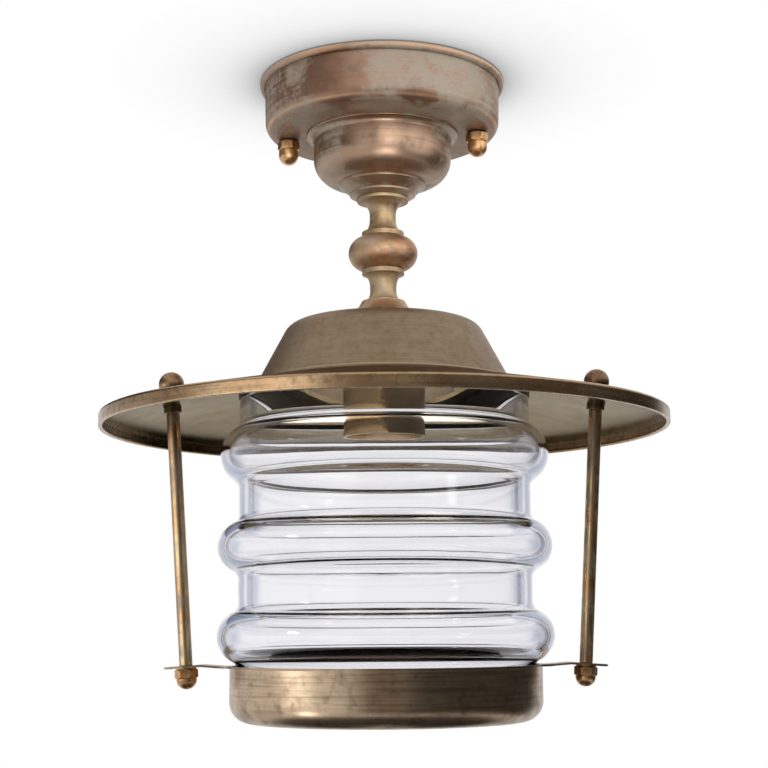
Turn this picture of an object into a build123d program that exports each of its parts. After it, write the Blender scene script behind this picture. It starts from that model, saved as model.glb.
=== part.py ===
"""Outdoor ceiling lantern in aged brass.

A canopy hangs on a ceiling bracket, a turned stem carries a spun dome and brim, and a ribbed
glass is held from below by a cup that hangs on two slanted posts.

Millimetres, +Z up. The origin is on the lantern's axis, in the ceiling plane.
The posts stand to the left (-X) and right (+X), and the front is -Y.
"""

from build123d import *
import os
from math import atan2, cos, radians, sin, sqrt, tan

# Sheet metal
canopy_sheet = 1.2
bowl_sheet = 1.2
dome_sheet = 1.0
brim_sheet = 1.0
cup_sheet = 1.2
lug_sheet = 1.1
sleeve_sheet = 1.2

# Clearances
thread_clearance = 0.05
slip_clearance = 0.2
bolt_clearance = 0.3
seat_clearance = 0.05

# Ceiling bracket, its studs and its lock nuts
bracket_sheet = 2.5
bracket_width = 22.0
bracket_end = 7.9
bracket_pad = 8.1
bracket_joggle = 6.0
bracket_joggle_run = 7.0
bracket_bend_radius = 3.0
bracket_corner_radius = 4.0
ceiling_screw_spacing = 52.0
ceiling_screw_hole_radius = 2.6
cable_hole_radius = 9.0
stud_flange_gap = 5.4
stud_turn = -7.0
stud_radius = 3.0
stud_head_radius = 5.0
stud_head_height = 4.0
stud_nut_flats = 10.0
stud_nut_height = 5.0

# Canopy
canopy_depth = 29.3
canopy_stud_margin = 11.6
canopy_taper = 0.6
canopy_bead_proud = 2.6
canopy_bead_radius = 1.9
canopy_edge_radius = 6.4

# Bowl under the canopy
bowl_depth = 35.5
bowl_radius = 37.5
bowl_flange_width = 4.0
bowl_cove_radius = 3.2
bowl_belly_radius = 13.5
bowl_belly_depth = 27.3
bowl_ledge = 0.4
bowl_step_width = 5.6
bowl_foot_inset = 3.7
bowl_step_height = 1.0
bowl_lower_step_depth = 32.8
bowl_edge_round = 0.3
bowl_foot_thickness = 2.0

# Stem
tube_radius = 5.0
tube_bore_radius = 4.0
tube_nut_flats = 15.0
tube_nut_height = 4.0
tube_end_proud = 3.0
tube_washer_radius = 14.0
tube_washer_thickness = 1.5
upper_spool_length = 21.6
upper_spool_top_radius = 14.0
upper_spool_top_band = 1.9
upper_spool_neck_drop = 10.4
spool_band = 2.7
spool_band_radius = 11.4
spool_neck_radius = 7.1
spool_neck_length = 2.0
spool_lip = 0.6
knop_height = 18.2
knop_radius = 18.7
knop_cap_radius = 9.6
lower_spool_length = 18.0
lower_spool_foot_radius = 11.6
lower_spool_neck_drop = 11.0
lower_spool_foot_band = 0.6
collar_height = 9.0
collar_top_radius = 12.0
collar_waist_radius = 14.2
collar_waist_drop = 3.6
collar_foot_radius = 20.5
collar_foot_band = 1.4

# Dome
dome_height = 37.6
dome_crown_run = 23.9
dome_flank_run = 17.4
dome_shoulder_drop = 3.9
dome_shoulder_round = 10.0
dome_crown_round = 40.0
dome_foot_radius = 68.3
dome_foot_flange = 2.8
dome_foot_round = 1.6
clamp_washer_radius = 17.0
clamp_washer_thickness = 1.5

# Brim
brim_radius = 150.0
brim_drop = 16.3
brim_land_margin = 1.4
brim_hole_inset = 8.3
brim_lip_height = 6.8
brim_lip_round = 1.4
brim_hem_height = 2.0
brim_hem_width = 2.2

# Lampholder
sleeve_radius = 21.8
sleeve_length = 57.0
sleeve_round = 5.0
holder_gap = 0.6
holder_cap_height = 18.0
holder_cap_top_radius = 9.0
holder_cap_shoulder = 6.0
holder_cap_wall = 3.2
holder_chamber_drop = 1.0
holder_foot_round = 1.0
holder_body_length = 33.0
holder_floor = 4.0
holder_bore_gap = 0.3
shell_inner_radius = 13.3
shell_wall = 0.5
shell_length = 25.0
shell_neck_length = 6.5
shell_neck_radius = 11.4
shell_disc_hole_radius = 9.5
tab_width = 5.0
terminal_spread = 5.5
terminal_radius = 2.0
terminal_height = 5.5
terminal_hole_depth = 4.5
contact_width = 6.0
contact_thickness = 0.6
contact_drop = 4.5
contact_tip = 1.5
contact_bend_radius = 0.8

# Glass and its seals
glass_rim_drop = 6.0
glass_length = 163.5
glass_wall = 4.0
glass_land_gap = 4.3
glass_cove_radius = 5.0
bulge_top_depth = 30.4
bulge_foot_height = 38.7
bulge_middle_share = 0.5095
bulge_swells = (9.8, 10.8, 11.0)
bulge_rounds = (15.5, 13.5, 14.0)
seal_outer_margin = 0.5
seal_inner_margin = 0.6
base_seal_thickness = 3.5
base_seal_lip = 3.5

# Cup and lug ring
cup_glass_gap = 4.2
cup_depth = 27.5
cup_edge_radius = 10.5
ring_overhang = 0.3
ear_width = 22.8
ear_pad = 9.0
ear_flat_run = 3.0
ear_root_round = 7.0

# Posts
post_radius = 3.45
post_glass_gap = 16.2
post_foot_rise = 0.3
post_inset = 37.1
post_thread_radius = 3.0
post_foot_thread_radius = 2.5
post_foot_thread_length = 9.4
post_collar_radius = 4.7
post_collar_height = 3.4
ball_nut_radius = 6.8
ball_nut_neck_radius = 5.8
ball_nut_height = 18.0
ball_nut_bore_depth = 9.0
ball_nut_thread = 8.5

# Cap nuts and washers
cap_nut_flats = 10.8
cap_nut_hex_height = 4.8
cap_nut_dome_radius = 5.35
cap_nut_chamfer = 0.5
canopy_nut_height = 13.1
canopy_nut_bore_depth = 9.0
canopy_stud_engagement = 8.4
lug_nut_height = 10.4
lug_nut_bore_depth = 8.4
canopy_seal_radius = 5.2
canopy_seal_thickness = 0.8
lug_washer_radius = 5.2
lug_washer_thickness = 0.6

# Wiring inside the canopy
block_length = 33.0
block_width = 17.0
block_height = 15.0
block_setback = 34.0
block_round = 1.5
block_pole_spacing = 10.5
block_pole_radius = 4.2
block_web_height = 8.0
block_wire_height = 6.0
block_wire_hole_radius = 1.5
block_screw_spacing = 8.0
block_screw_hole_radius = 1.9
terminal_screw_radius = 1.75
terminal_screw_length = 5.0
terminal_screw_slot = 0.6
terminal_screw_recess = 1.5
lead_radius = 1.0
lead_offset = 2.2
lead_entry = 5.0
lead_crest_depth = 11.0
lead_crest_run = 13.0
lead_straight = 4.0
lead_spread_drop = 1.5
lead_lift = 2.3
bend_share = 0.45
earth_stud_x = -30.0
earth_stud_y = 10.0
earth_stud_radius = 2.0
earth_stud_height = 5.5
earth_tag_radius = 5.2
earth_tag_thickness = 0.8
earth_tag_barrel_radius = 1.7
earth_tag_barrel_height = 2.0
earth_tag_barrel_length = 5.5
earth_nut_flats = 7.0
earth_nut_height = 3.2
earth_bend_x = -14.0
earth_lead_straight = 9.0

# Levels along the axis, from the ceiling down
canopy_floor_z = -canopy_depth + canopy_sheet
canopy_underside_z = -canopy_depth
bowl_foot_z = canopy_underside_z - bowl_depth
knop_top_z = bowl_foot_z - upper_spool_length
knop_foot_z = knop_top_z - knop_height
collar_top_z = knop_foot_z - lower_spool_length
dome_top_z = collar_top_z - collar_height
brim_land_z = dome_top_z - dome_height
brim_lip_top_z = brim_land_z - brim_drop
brim_lip_foot_z = brim_lip_top_z - brim_lip_height
dome_nut_z = dome_top_z - dome_sheet - clamp_washer_thickness
sleeve_top_z = dome_nut_z - tube_nut_height
holder_top_z = sleeve_top_z - sleeve_sheet
holder_split_z = holder_top_z - holder_cap_height
holder_cavity_z = holder_split_z - holder_floor
holder_foot_z = holder_split_z - holder_body_length
tube_foot_z = holder_top_z - holder_cap_shoulder
tube_top_z = canopy_floor_z + tube_washer_thickness + tube_nut_height + tube_end_proud
glass_rim_z = brim_land_z - glass_rim_drop
glass_foot_z = glass_rim_z - glass_length
cup_floor_z = glass_foot_z - base_seal_thickness
cup_foot_z = cup_floor_z - cup_sheet
cup_rim_z = cup_foot_z + cup_depth
ring_top_z = cup_rim_z + lug_sheet
post_foot_z = ring_top_z + post_foot_rise

# Radii of the canopy, from the bowl outwards
bowl_flange_radius = bowl_radius + bowl_flange_width
bowl_upper_step_radius = bowl_radius - bowl_belly_radius - bowl_ledge
bowl_lower_step_radius = bowl_upper_step_radius - bowl_step_width
bowl_foot_radius = bowl_lower_step_radius - bowl_foot_inset
stud_circle_radius = bowl_flange_radius + stud_flange_gap + canopy_seal_radius
canopy_bottom_radius = stud_circle_radius + canopy_stud_margin
canopy_top_radius = canopy_bottom_radius + canopy_taper
canopy_bead_outer_radius = canopy_top_radius + canopy_bead_proud

# Radii of the shade and the glass, from the dome's foot
dome_shoulder_radius = dome_foot_radius - dome_flank_run
dome_flat_radius = dome_shoulder_radius - dome_crown_run
brim_hole_radius = dome_foot_radius - brim_hole_inset
brim_land_radius = dome_foot_radius + dome_foot_flange + brim_land_margin
glass_neck_radius = brim_land_radius + glass_land_gap
seal_outer_radius = glass_neck_radius + seal_outer_margin
seal_inner_radius = glass_neck_radius - glass_wall + seal_inner_margin
cup_radius = glass_neck_radius + cup_glass_gap
bulge_radii = [glass_neck_radius + swell for swell in bulge_swells]

# Bulges of the glass, from its rim down
bulge_last_depth = glass_length - bulge_foot_height
bulge_middle_depth = bulge_top_depth + bulge_middle_share * (bulge_last_depth - bulge_top_depth)
bulge_depths = (bulge_top_depth, bulge_middle_depth, bulge_last_depth)

# Posts, which stand clear of the glass and end near the brim's lip
post_foot_radius = max(bulge_radii) + post_glass_gap
post_top_radius = brim_radius - post_inset

# The brim's slope, and the heights of its faces at a radius
brim_slope = atan2(brim_drop, brim_radius - brim_land_radius)


def brim_top(radius):
    """Height of the brim's upper face at a radius on its cone."""
    return brim_land_z - (radius - brim_land_radius) * tan(brim_slope)


def brim_underside(radius):
    """Height of the brim's lower face at a radius on its cone."""
    return brim_top(radius) - brim_sheet / cos(brim_slope)


# Slant of the posts
post_rise = brim_underside(post_top_radius) - post_foot_z
post_lean = atan2(post_top_radius - post_foot_radius, post_rise)
post_length = post_rise / cos(post_lean)
thread_drift = post_foot_thread_length * sin(post_lean)

tube_hole_radius = tube_radius + slip_clearance
stud_end_z = canopy_underside_z - canopy_seal_thickness - canopy_stud_engagement

os.makedirs("parts", exist_ok=True)


def save(piece, name):
    """Label a finished piece and write it as its own file."""
    piece.label = name
    export_step(piece, f"parts/{name}.step")


def spun_sheet(outline, rounds, sheet, side):
    """Sheet spun about the lantern's axis: an outline of (radius, height) points with rounded corners."""
    with BuildPart() as spun:
        with BuildSketch(Plane.XZ):
            with BuildLine():
                FilletPolyline(*outline, radius=rounds)
                offset(amount=sheet, side=side)
            make_face()
        revolve(axis=Axis.Z)
    return spun.part


def turned(outline):
    """Solid turned about the lantern's axis from a closed outline of (radius, height) points."""
    with BuildPart() as piece:
        with BuildSketch(Plane.XZ):
            with BuildLine():
                Polyline(*outline, close=True)
            make_face()
        revolve(axis=Axis.Z)
    return piece.part


def ring(plane, outer_radius, inner_radius, thickness):
    """Flat ring that hangs below a plane."""
    with BuildPart() as flat:
        with BuildSketch(plane):
            Circle(outer_radius)
            Circle(inner_radius, mode=Mode.SUBTRACT)
        extrude(amount=-thickness)
    return flat.part


def hex_nut(plane, flats, bore_radius, height):
    """Plain hexagon nut that hangs below a plane, with two flats to the front and back."""
    with BuildPart() as nut:
        with BuildSketch(plane):
            RegularPolygon(flats / 2, 6, major_radius=False)
            Circle(bore_radius, mode=Mode.SUBTRACT)
        extrude(amount=-height)
    return nut.part


def cap_nut(plane, height, bore_radius, bore_depth):
    """Domed cap nut that hangs below a plane: a hexagon, a round cap and a blind bore."""
    neck = height - cap_nut_dome_radius
    with BuildPart() as nut:
        with BuildSketch(plane):
            RegularPolygon(cap_nut_flats / 2, 6, major_radius=False)
        extrude(amount=-cap_nut_hex_height)
        chamfer(nut.faces().sort_by(Axis(plane.origin, plane.z_dir))[0].edges(), cap_nut_chamfer)
        with BuildSketch(Plane(plane.origin, plane.x_dir, -plane.y_dir)):
            with BuildLine():
                Polyline((0, 0), (cap_nut_dome_radius, 0), (cap_nut_dome_radius, -neck))
                RadiusArc((cap_nut_dome_radius, -neck), (0, -height), cap_nut_dome_radius)
                Line((0, -height), (0, 0))
            make_face()
        revolve(axis=Axis(plane.origin, plane.z_dir))
        with BuildSketch(plane):
            Circle(bore_radius)
        extrude(amount=-bore_depth, mode=Mode.SUBTRACT)
    return nut.part


# Ceiling bracket: a joggled bar, so that the stud heads sit behind its ends
bracket_plane = Plane.XZ.rotated((0, 0, stud_turn))
bracket_face = Plane.XY.rotated((0, 0, stud_turn))
bar_half = stud_circle_radius + bracket_end
joggle_half = stud_circle_radius - bracket_pad
flat_half = joggle_half - bracket_joggle_run
bar_outline = [
    (-bar_half, -bracket_joggle), (-joggle_half, -bracket_joggle), (-flat_half, 0),
    (flat_half, 0), (joggle_half, -bracket_joggle), (bar_half, -bracket_joggle),
]
stud_foot_plane = bracket_face.offset(-bracket_joggle)
with BuildPart() as mounting_bracket:
    with BuildSketch(bracket_plane):
        with BuildLine():
            FilletPolyline(*bar_outline, radius=bracket_bend_radius)
            offset(amount=bracket_sheet, side=Side.RIGHT)
        make_face()
    extrude(amount=bracket_width / 2, both=True)
    fillet(mounting_bracket.edges().filter_by(Axis.Z), bracket_corner_radius)
    with BuildSketch(bracket_face):
        Circle(cable_hole_radius)
        with GridLocations(ceiling_screw_spacing, 0, 2, 1):
            Circle(ceiling_screw_hole_radius)
        with GridLocations(2 * stud_circle_radius, 0, 2, 1):
            Circle(stud_radius + thread_clearance)
    extrude(amount=-bracket_joggle - bracket_sheet, mode=Mode.SUBTRACT)
save(mounting_bracket.part, "mounting_bracket")

with BuildPart() as bracket_studs:
    with BuildSketch(stud_foot_plane):
        with GridLocations(2 * stud_circle_radius, 0, 2, 1):
            Circle(stud_head_radius)
    extrude(amount=stud_head_height)
    with BuildSketch(stud_foot_plane):
        with GridLocations(2 * stud_circle_radius, 0, 2, 1):
            Circle(stud_radius)
    extrude(amount=stud_end_z + bracket_joggle)
save(bracket_studs.part, "bracket_studs")

with BuildPart() as stud_lock_nuts:
    with BuildSketch(stud_foot_plane.offset(-bracket_sheet)):
        with GridLocations(2 * stud_circle_radius, 0, 2, 1):
            RegularPolygon(stud_nut_flats / 2, 6, major_radius=False)
            Circle(stud_radius + thread_clearance, mode=Mode.SUBTRACT)
    extrude(amount=-stud_nut_height)
save(stud_lock_nuts.part, "stud_lock_nuts")

# Canopy: a spun cup with a rolled bead against the ceiling
canopy_outline = [
    (canopy_top_radius, -canopy_bead_radius),
    (canopy_bottom_radius, canopy_underside_z),
    (tube_hole_radius, canopy_underside_z),
]
canopy_shell = spun_sheet(canopy_outline, canopy_edge_radius, canopy_sheet, Side.RIGHT)
with BuildPart() as canopy:
    add(canopy_shell)
    with BuildSketch(Plane.XZ):
        with Locations((canopy_bead_outer_radius - canopy_bead_radius, -canopy_bead_radius)):
            Circle(canopy_bead_radius)
    revolve(axis=Axis.Z)
    with BuildSketch(bracket_face.offset(canopy_underside_z)):
        with GridLocations(2 * stud_circle_radius, 0, 2, 1):
            Circle(stud_radius + bolt_clearance)
    extrude(amount=canopy_sheet, mode=Mode.SUBTRACT)
save(canopy.part, "canopy")

# Bowl: a flange against the canopy, a round belly and two small steps above its foot
belly_z = canopy_underside_z - bowl_belly_depth
lower_step_z = canopy_underside_z - bowl_lower_step_depth
bowl_outline = [
    (bowl_flange_radius, canopy_underside_z),
    (bowl_flange_radius, canopy_underside_z - bowl_sheet),
    (bowl_radius, canopy_underside_z - bowl_sheet),
    (bowl_radius, belly_z),
    (bowl_upper_step_radius, belly_z),
    (bowl_upper_step_radius, belly_z - bowl_step_height),
    (bowl_lower_step_radius, lower_step_z),
    (bowl_lower_step_radius, lower_step_z - bowl_step_height),
    (bowl_foot_radius, bowl_foot_z),
    (tube_hole_radius, bowl_foot_z),
]
bowl_rounds = [bowl_edge_round, bowl_cove_radius, bowl_belly_radius] + [bowl_edge_round] * 5
bowl_hollow = [
    (bowl_radius - bowl_sheet, canopy_underside_z),
    (bowl_radius - bowl_sheet, belly_z + bowl_sheet),
    (bowl_upper_step_radius - bowl_sheet, belly_z + bowl_sheet),
    (bowl_foot_radius, bowl_foot_z + bowl_foot_thickness),
    (tube_hole_radius, bowl_foot_z + bowl_foot_thickness),
]
bowl_hollow_rounds = [bowl_belly_radius - bowl_sheet, bowl_sheet, bowl_sheet]
with BuildPart() as canopy_bowl:
    with BuildSketch(Plane.XZ):
        with BuildLine():
            outside = FilletPolyline(*bowl_outline, radius=bowl_rounds)
            inside = FilletPolyline(*bowl_hollow, radius=bowl_hollow_rounds)
            Line(outside @ 0, inside @ 0)
            Line(outside @ 1, inside @ 1)
        make_face()
    revolve(axis=Axis.Z)
save(canopy_bowl.part, "canopy_bowl")

# Tube through the stem, clamped to the canopy from inside
tube_plane = Plane.XY.offset(tube_top_z)
save(ring(tube_plane, tube_radius, tube_bore_radius, tube_top_z - tube_foot_z), "threaded_tube")
tube_washer_top_z = canopy_floor_z + tube_washer_thickness
tube_washer = Plane.XY.offset(tube_washer_top_z)
save(ring(tube_washer, tube_washer_radius, tube_hole_radius, tube_washer_thickness), "tube_top_washer")
tube_nut_plane = Plane.XY.offset(tube_washer_top_z + tube_nut_height)
tube_thread_hole = tube_radius + thread_clearance
save(hex_nut(tube_nut_plane, tube_nut_flats, tube_thread_hole, tube_nut_height), "tube_top_nut")

# Stem: two waisted spools with a knop between them, all slipped over the tube


def spool(top_z, neck_z, foot_z, top_band, top_radius, foot_band, foot_radius):
    """Turned spool: a band at each end, and a cove from each band's lip to the neck."""
    neck_top = neck_z + spool_neck_length / 2
    neck_foot = neck_z - spool_neck_length / 2
    top_lip = top_radius - spool_lip
    foot_lip = foot_radius - spool_lip
    with BuildPart() as piece:
        with BuildSketch(Plane.XZ):
            with BuildLine():
                Line((spool_neck_radius, neck_foot), (spool_neck_radius, neck_top))
                top_cove = top_z - top_band - neck_top
                foot_cove = neck_foot - foot_z - foot_band
                EllipticalCenterArc((top_lip, neck_top), top_lip - spool_neck_radius, top_cove, 90)
                EllipticalCenterArc((foot_lip, neck_foot), foot_lip - spool_neck_radius, foot_cove, 180)
                Polyline(
                    (top_lip, top_z - top_band),
                    (top_radius, top_z - top_band),
                    (top_radius, top_z),
                    (tube_hole_radius, top_z),
                    (tube_hole_radius, foot_z),
                    (foot_radius, foot_z),
                    (foot_radius, foot_z + foot_band),
                    (foot_lip, foot_z + foot_band),
                )
            make_face()
        revolve(axis=Axis.Z)
    return piece.part


upper_spool = spool(
    bowl_foot_z, bowl_foot_z - upper_spool_neck_drop, knop_top_z,
    upper_spool_top_band, upper_spool_top_radius, spool_band, spool_band_radius,
)
save(upper_spool, "upper_spool")
lower_spool = spool(
    knop_foot_z, knop_foot_z - lower_spool_neck_drop, collar_top_z,
    spool_band, spool_band_radius, lower_spool_foot_band, lower_spool_foot_radius,
)
save(lower_spool, "lower_spool")

# Knop: a full round between two flat seats
with BuildPart() as stem_knop:
    with BuildSketch(Plane.XZ):
        with BuildLine():
            ThreePointArc(
                (knop_cap_radius, knop_top_z),
                (knop_radius, (knop_top_z + knop_foot_z) / 2),
                (knop_cap_radius, knop_foot_z),
            )
            Polyline(
                (knop_cap_radius, knop_foot_z),
                (tube_hole_radius, knop_foot_z),
                (tube_hole_radius, knop_top_z),
                (knop_cap_radius, knop_top_z),
            )
        make_face()
    revolve(axis=Axis.Z)
save(stem_knop.part, "stem_knop")

# Collar: a trumpet foot that spreads the stem's load on the dome
collar_band_z = dome_top_z + collar_foot_band
with BuildPart() as dome_collar:
    with BuildSketch(Plane.XZ):
        with BuildLine():
            ThreePointArc(
                (collar_top_radius, collar_top_z),
                (collar_waist_radius, collar_top_z - collar_waist_drop),
                (collar_foot_radius, collar_band_z),
            )
            Polyline(
                (collar_foot_radius, collar_band_z),
                (collar_foot_radius, dome_top_z),
                (tube_hole_radius, dome_top_z),
                (tube_hole_radius, collar_top_z),
                (collar_top_radius, collar_top_z),
            )
        make_face()
    revolve(axis=Axis.Z)
save(dome_collar.part, "dome_collar")

# Dome: flat seat for the collar, round shoulder, straight flank and a turned-out foot
dome_outline = [
    (tube_hole_radius, dome_top_z),
    (dome_flat_radius, dome_top_z),
    (dome_shoulder_radius, dome_top_z - dome_shoulder_drop),
    (dome_foot_radius, brim_land_z + dome_sheet),
    (dome_foot_radius + dome_foot_flange, brim_land_z + dome_sheet),
]
dome_rounds = [dome_crown_round, dome_shoulder_round, dome_foot_round]
save(spun_sheet(dome_outline, dome_rounds, dome_sheet, Side.RIGHT), "dome")
clamp_plane = Plane.XY.offset(dome_top_z - dome_sheet)
save(ring(clamp_plane, clamp_washer_radius, tube_hole_radius, clamp_washer_thickness), "dome_clamp_washer")
dome_nut_plane = Plane.XY.offset(dome_nut_z)
save(hex_nut(dome_nut_plane, tube_nut_flats, tube_thread_hole, tube_nut_height), "dome_lock_nut")

# Spaces above and below the brim's cone, which trim the pieces that seat on it
trim_depth = brim_lip_height + brim_drop
above_brim = turned([
    (brim_land_radius, brim_underside(brim_land_radius)),
    (brim_radius, brim_underside(brim_radius)),
    (brim_radius, brim_land_z + trim_depth),
    (brim_land_radius, brim_land_z + trim_depth),
])
below_brim = turned([
    (brim_land_radius, brim_top(brim_land_radius)),
    (brim_radius, brim_top(brim_radius)),
    (brim_radius, brim_lip_foot_z - trim_depth),
    (brim_land_radius, brim_lip_foot_z - trim_depth),
])


def post_plane(sign):
    """Plane at the foot of a post, square to the post, which leans outwards as it rises."""
    return Plane(
        origin=(sign * post_foot_radius, 0, post_foot_z),
        x_dir=(cos(post_lean), 0, -sign * sin(post_lean)),
        z_dir=(sign * sin(post_lean), 0, cos(post_lean)),
    )


sides = {"left": -1, "right": 1}

# Brim: a flat land under the dome, a cone and a hemmed lip
brim_outline = [
    (brim_hole_radius, brim_land_z),
    (brim_land_radius, brim_land_z),
    (brim_radius, brim_lip_top_z),
    (brim_radius, brim_lip_foot_z),
]
brim_shell = spun_sheet(brim_outline, [0, brim_lip_round], brim_sheet, Side.RIGHT)
brim_hem = turned([
    (brim_radius - brim_sheet / 2, brim_lip_foot_z),
    (brim_radius - brim_hem_width, brim_lip_foot_z),
    (brim_radius - brim_hem_width, brim_lip_foot_z + brim_hem_height),
    (brim_radius - brim_sheet / 2, brim_lip_foot_z + brim_hem_height),
])
with BuildPart() as brim:
    add(brim_shell)
    add(brim_hem)
    for sign in sides.values():
        with BuildSketch(post_plane(sign).offset(post_length)):
            Circle(post_thread_radius + bolt_clearance)
        extrude(amount=post_collar_height, both=True, mode=Mode.SUBTRACT)
save(brim.part, "brim")

# Posts with their collars under the brim and their round nuts above it
for side, sign in sides.items():
    foot = post_plane(sign)
    head = foot.offset(post_length)
    with BuildPart() as post:
        with BuildSketch(foot):
            Circle(post_radius)
        extrude(amount=post_length + post_radius)
        add(above_brim, mode=Mode.SUBTRACT)
        with BuildSketch(head.offset(-post_radius)):
            Circle(post_thread_radius)
        extrude(amount=post_radius + brim_sheet + ball_nut_thread)
        with BuildSketch(foot):
            Circle(post_foot_thread_radius)
        extrude(amount=-post_foot_thread_length)
    save(post.part, f"{side}_post")
    with BuildPart() as post_collar:
        with BuildSketch(head.offset(-post_collar_height)):
            Circle(post_collar_radius)
            Circle(post_radius + thread_clearance, mode=Mode.SUBTRACT)
        extrude(amount=2 * post_collar_height)
        add(above_brim, mode=Mode.SUBTRACT)
    save(post_collar.part, f"{side}_post_collar")
    with BuildPart() as ball_nut:
        with BuildSketch(head):
            Circle(ball_nut_neck_radius)
        extrude(amount=brim_sheet + ball_nut_height - ball_nut_radius)
        with Locations(head.offset(brim_sheet + ball_nut_height - ball_nut_radius)):
            Sphere(ball_nut_radius)
        with BuildSketch(head.offset(-post_collar_height)):
            Circle(post_thread_radius + thread_clearance)
        extrude(amount=post_collar_height + brim_sheet + ball_nut_bore_depth, mode=Mode.SUBTRACT)
        add(below_brim, mode=Mode.SUBTRACT)
    save(ball_nut.part, f"{side}_ball_nut")

# Lampholder: a brass sleeve round a two-part porcelain body
sleeve_outline = [
    (tube_hole_radius, sleeve_top_z),
    (sleeve_radius, sleeve_top_z),
    (sleeve_radius, sleeve_top_z - sleeve_length),
]
save(spun_sheet(sleeve_outline, sleeve_round, sleeve_sheet, Side.RIGHT), "holder_sleeve")
holder_radius = sleeve_radius - sleeve_sheet - holder_gap
chamber_radius = holder_radius - holder_cap_wall
chamber_z = tube_foot_z - holder_chamber_drop
holder_cap = turned([
    (tube_thread_hole, holder_top_z),
    (holder_cap_top_radius, holder_top_z),
    (holder_radius, holder_top_z - holder_cap_shoulder),
    (holder_radius, holder_split_z),
    (chamber_radius, holder_split_z),
    (chamber_radius, chamber_z),
    (tube_thread_hole, chamber_z),
])
save(holder_cap, "holder_cap")

shell_outer_radius = shell_inner_radius + shell_wall
with BuildPart() as lampholder_body:
    with BuildSketch(Plane.XY.offset(holder_split_z)):
        Circle(holder_radius)
        with GridLocations(2 * terminal_spread, 0, 2, 1):
            Circle(terminal_radius + thread_clearance, mode=Mode.SUBTRACT)
    extrude(amount=-holder_body_length)
    with BuildSketch(Plane.XY.offset(holder_cavity_z)):
        Circle(shell_outer_radius + holder_bore_gap)
    extrude(amount=holder_foot_z - holder_cavity_z, mode=Mode.SUBTRACT)
    fillet(lampholder_body.faces().sort_by(Axis.Z)[0].edges(), holder_foot_round)
save(lampholder_body.part, "lampholder_body")

terminal_top_z = holder_split_z + terminal_height
shell_shoulder_z = holder_cavity_z - shell_neck_length
shell_foot_z = holder_cavity_z - shell_length
shell_cup = turned([
    (shell_disc_hole_radius, holder_cavity_z),
    (shell_neck_radius + shell_wall, holder_cavity_z),
    (shell_neck_radius + shell_wall, shell_shoulder_z),
    (shell_outer_radius, shell_shoulder_z),
    (shell_outer_radius, shell_foot_z),
    (shell_inner_radius, shell_foot_z),
    (shell_inner_radius, shell_shoulder_z - shell_wall),
    (shell_neck_radius, shell_shoulder_z - shell_wall),
    (shell_neck_radius, holder_cavity_z - shell_wall),
    (shell_disc_hole_radius, holder_cavity_z - shell_wall),
])
with BuildPart() as screw_shell:
    add(shell_cup)
    with BuildSketch(Plane.XY.offset(holder_cavity_z)):
        with Locations(((terminal_spread + shell_disc_hole_radius) / 2, 0)):
            Rectangle(shell_disc_hole_radius - terminal_spread + terminal_radius, tab_width)
    extrude(amount=-shell_wall)
    with BuildSketch(Plane.XY.offset(holder_cavity_z)):
        with Locations((terminal_spread, 0)):
            Circle(terminal_radius)
    extrude(amount=terminal_top_z - holder_cavity_z)
    with BuildSketch(Plane.XY.offset(terminal_top_z)):
        with Locations((terminal_spread, 0)):
            Circle(lead_radius + thread_clearance)
    extrude(amount=-terminal_hole_depth, mode=Mode.SUBTRACT)
save(screw_shell.part, "screw_shell")

# Centre contact: a springy tongue riveted through the porcelain
contact_outline = [
    (-terminal_spread - terminal_radius, holder_cavity_z),
    (-terminal_spread + terminal_radius, holder_cavity_z),
    (-contact_tip, holder_cavity_z - contact_drop),
    (contact_tip, holder_cavity_z - contact_drop),
]
with BuildPart() as centre_contact:
    with BuildSketch(Plane.XZ):
        with BuildLine():
            FilletPolyline(*contact_outline, radius=contact_bend_radius)
            offset(amount=contact_thickness, side=Side.RIGHT)
        make_face()
    extrude(amount=contact_width / 2, both=True)
    with BuildSketch(Plane.XY.offset(holder_cavity_z)):
        with Locations((-terminal_spread, 0)):
            Circle(terminal_radius)
    extrude(amount=terminal_top_z - holder_cavity_z)
    with BuildSketch(Plane.XY.offset(terminal_top_z)):
        with Locations((-terminal_spread, 0)):
            Circle(lead_radius + thread_clearance)
    extrude(amount=-terminal_hole_depth, mode=Mode.SUBTRACT)
save(centre_contact.part, "centre_contact")

# Glass: a straight neck with three bulges, each a round crown between two coves


def bulge_joints(level, radius, rounding):
    """Points where a bulge's coves and crown meet, from the top down."""
    crown = radius - rounding
    cove = glass_neck_radius + glass_cove_radius
    reach = rounding + glass_cove_radius
    half = sqrt(reach**2 - (cove - crown) ** 2)
    share = rounding / reach
    joint_radius = crown + (cove - crown) * share
    return [
        (glass_neck_radius, level + half),
        (joint_radius, level + half * share),
        (radius, level),
        (joint_radius, level - half * share),
        (glass_neck_radius, level - half),
    ]


with BuildPart() as glass:
    with BuildSketch(Plane.XZ):
        with BuildLine():
            start = (glass_neck_radius, glass_rim_z)
            for depth, radius, rounding in zip(bulge_depths, bulge_radii, bulge_rounds):
                joints = bulge_joints(glass_rim_z - depth, radius, rounding)
                Line(start, joints[0])
                TangentArc(joints[0], joints[1], tangent=(0, -1))
                ThreePointArc(joints[1], joints[2], joints[3])
                TangentArc(joints[4], joints[3], tangent=(0, 1))
                start = joints[4]
            Line(start, (glass_neck_radius, glass_foot_z))
            offset(amount=glass_wall, side=Side.RIGHT)
        make_face()
    revolve(axis=Axis.Z)
save(glass.part, "glass")

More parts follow.
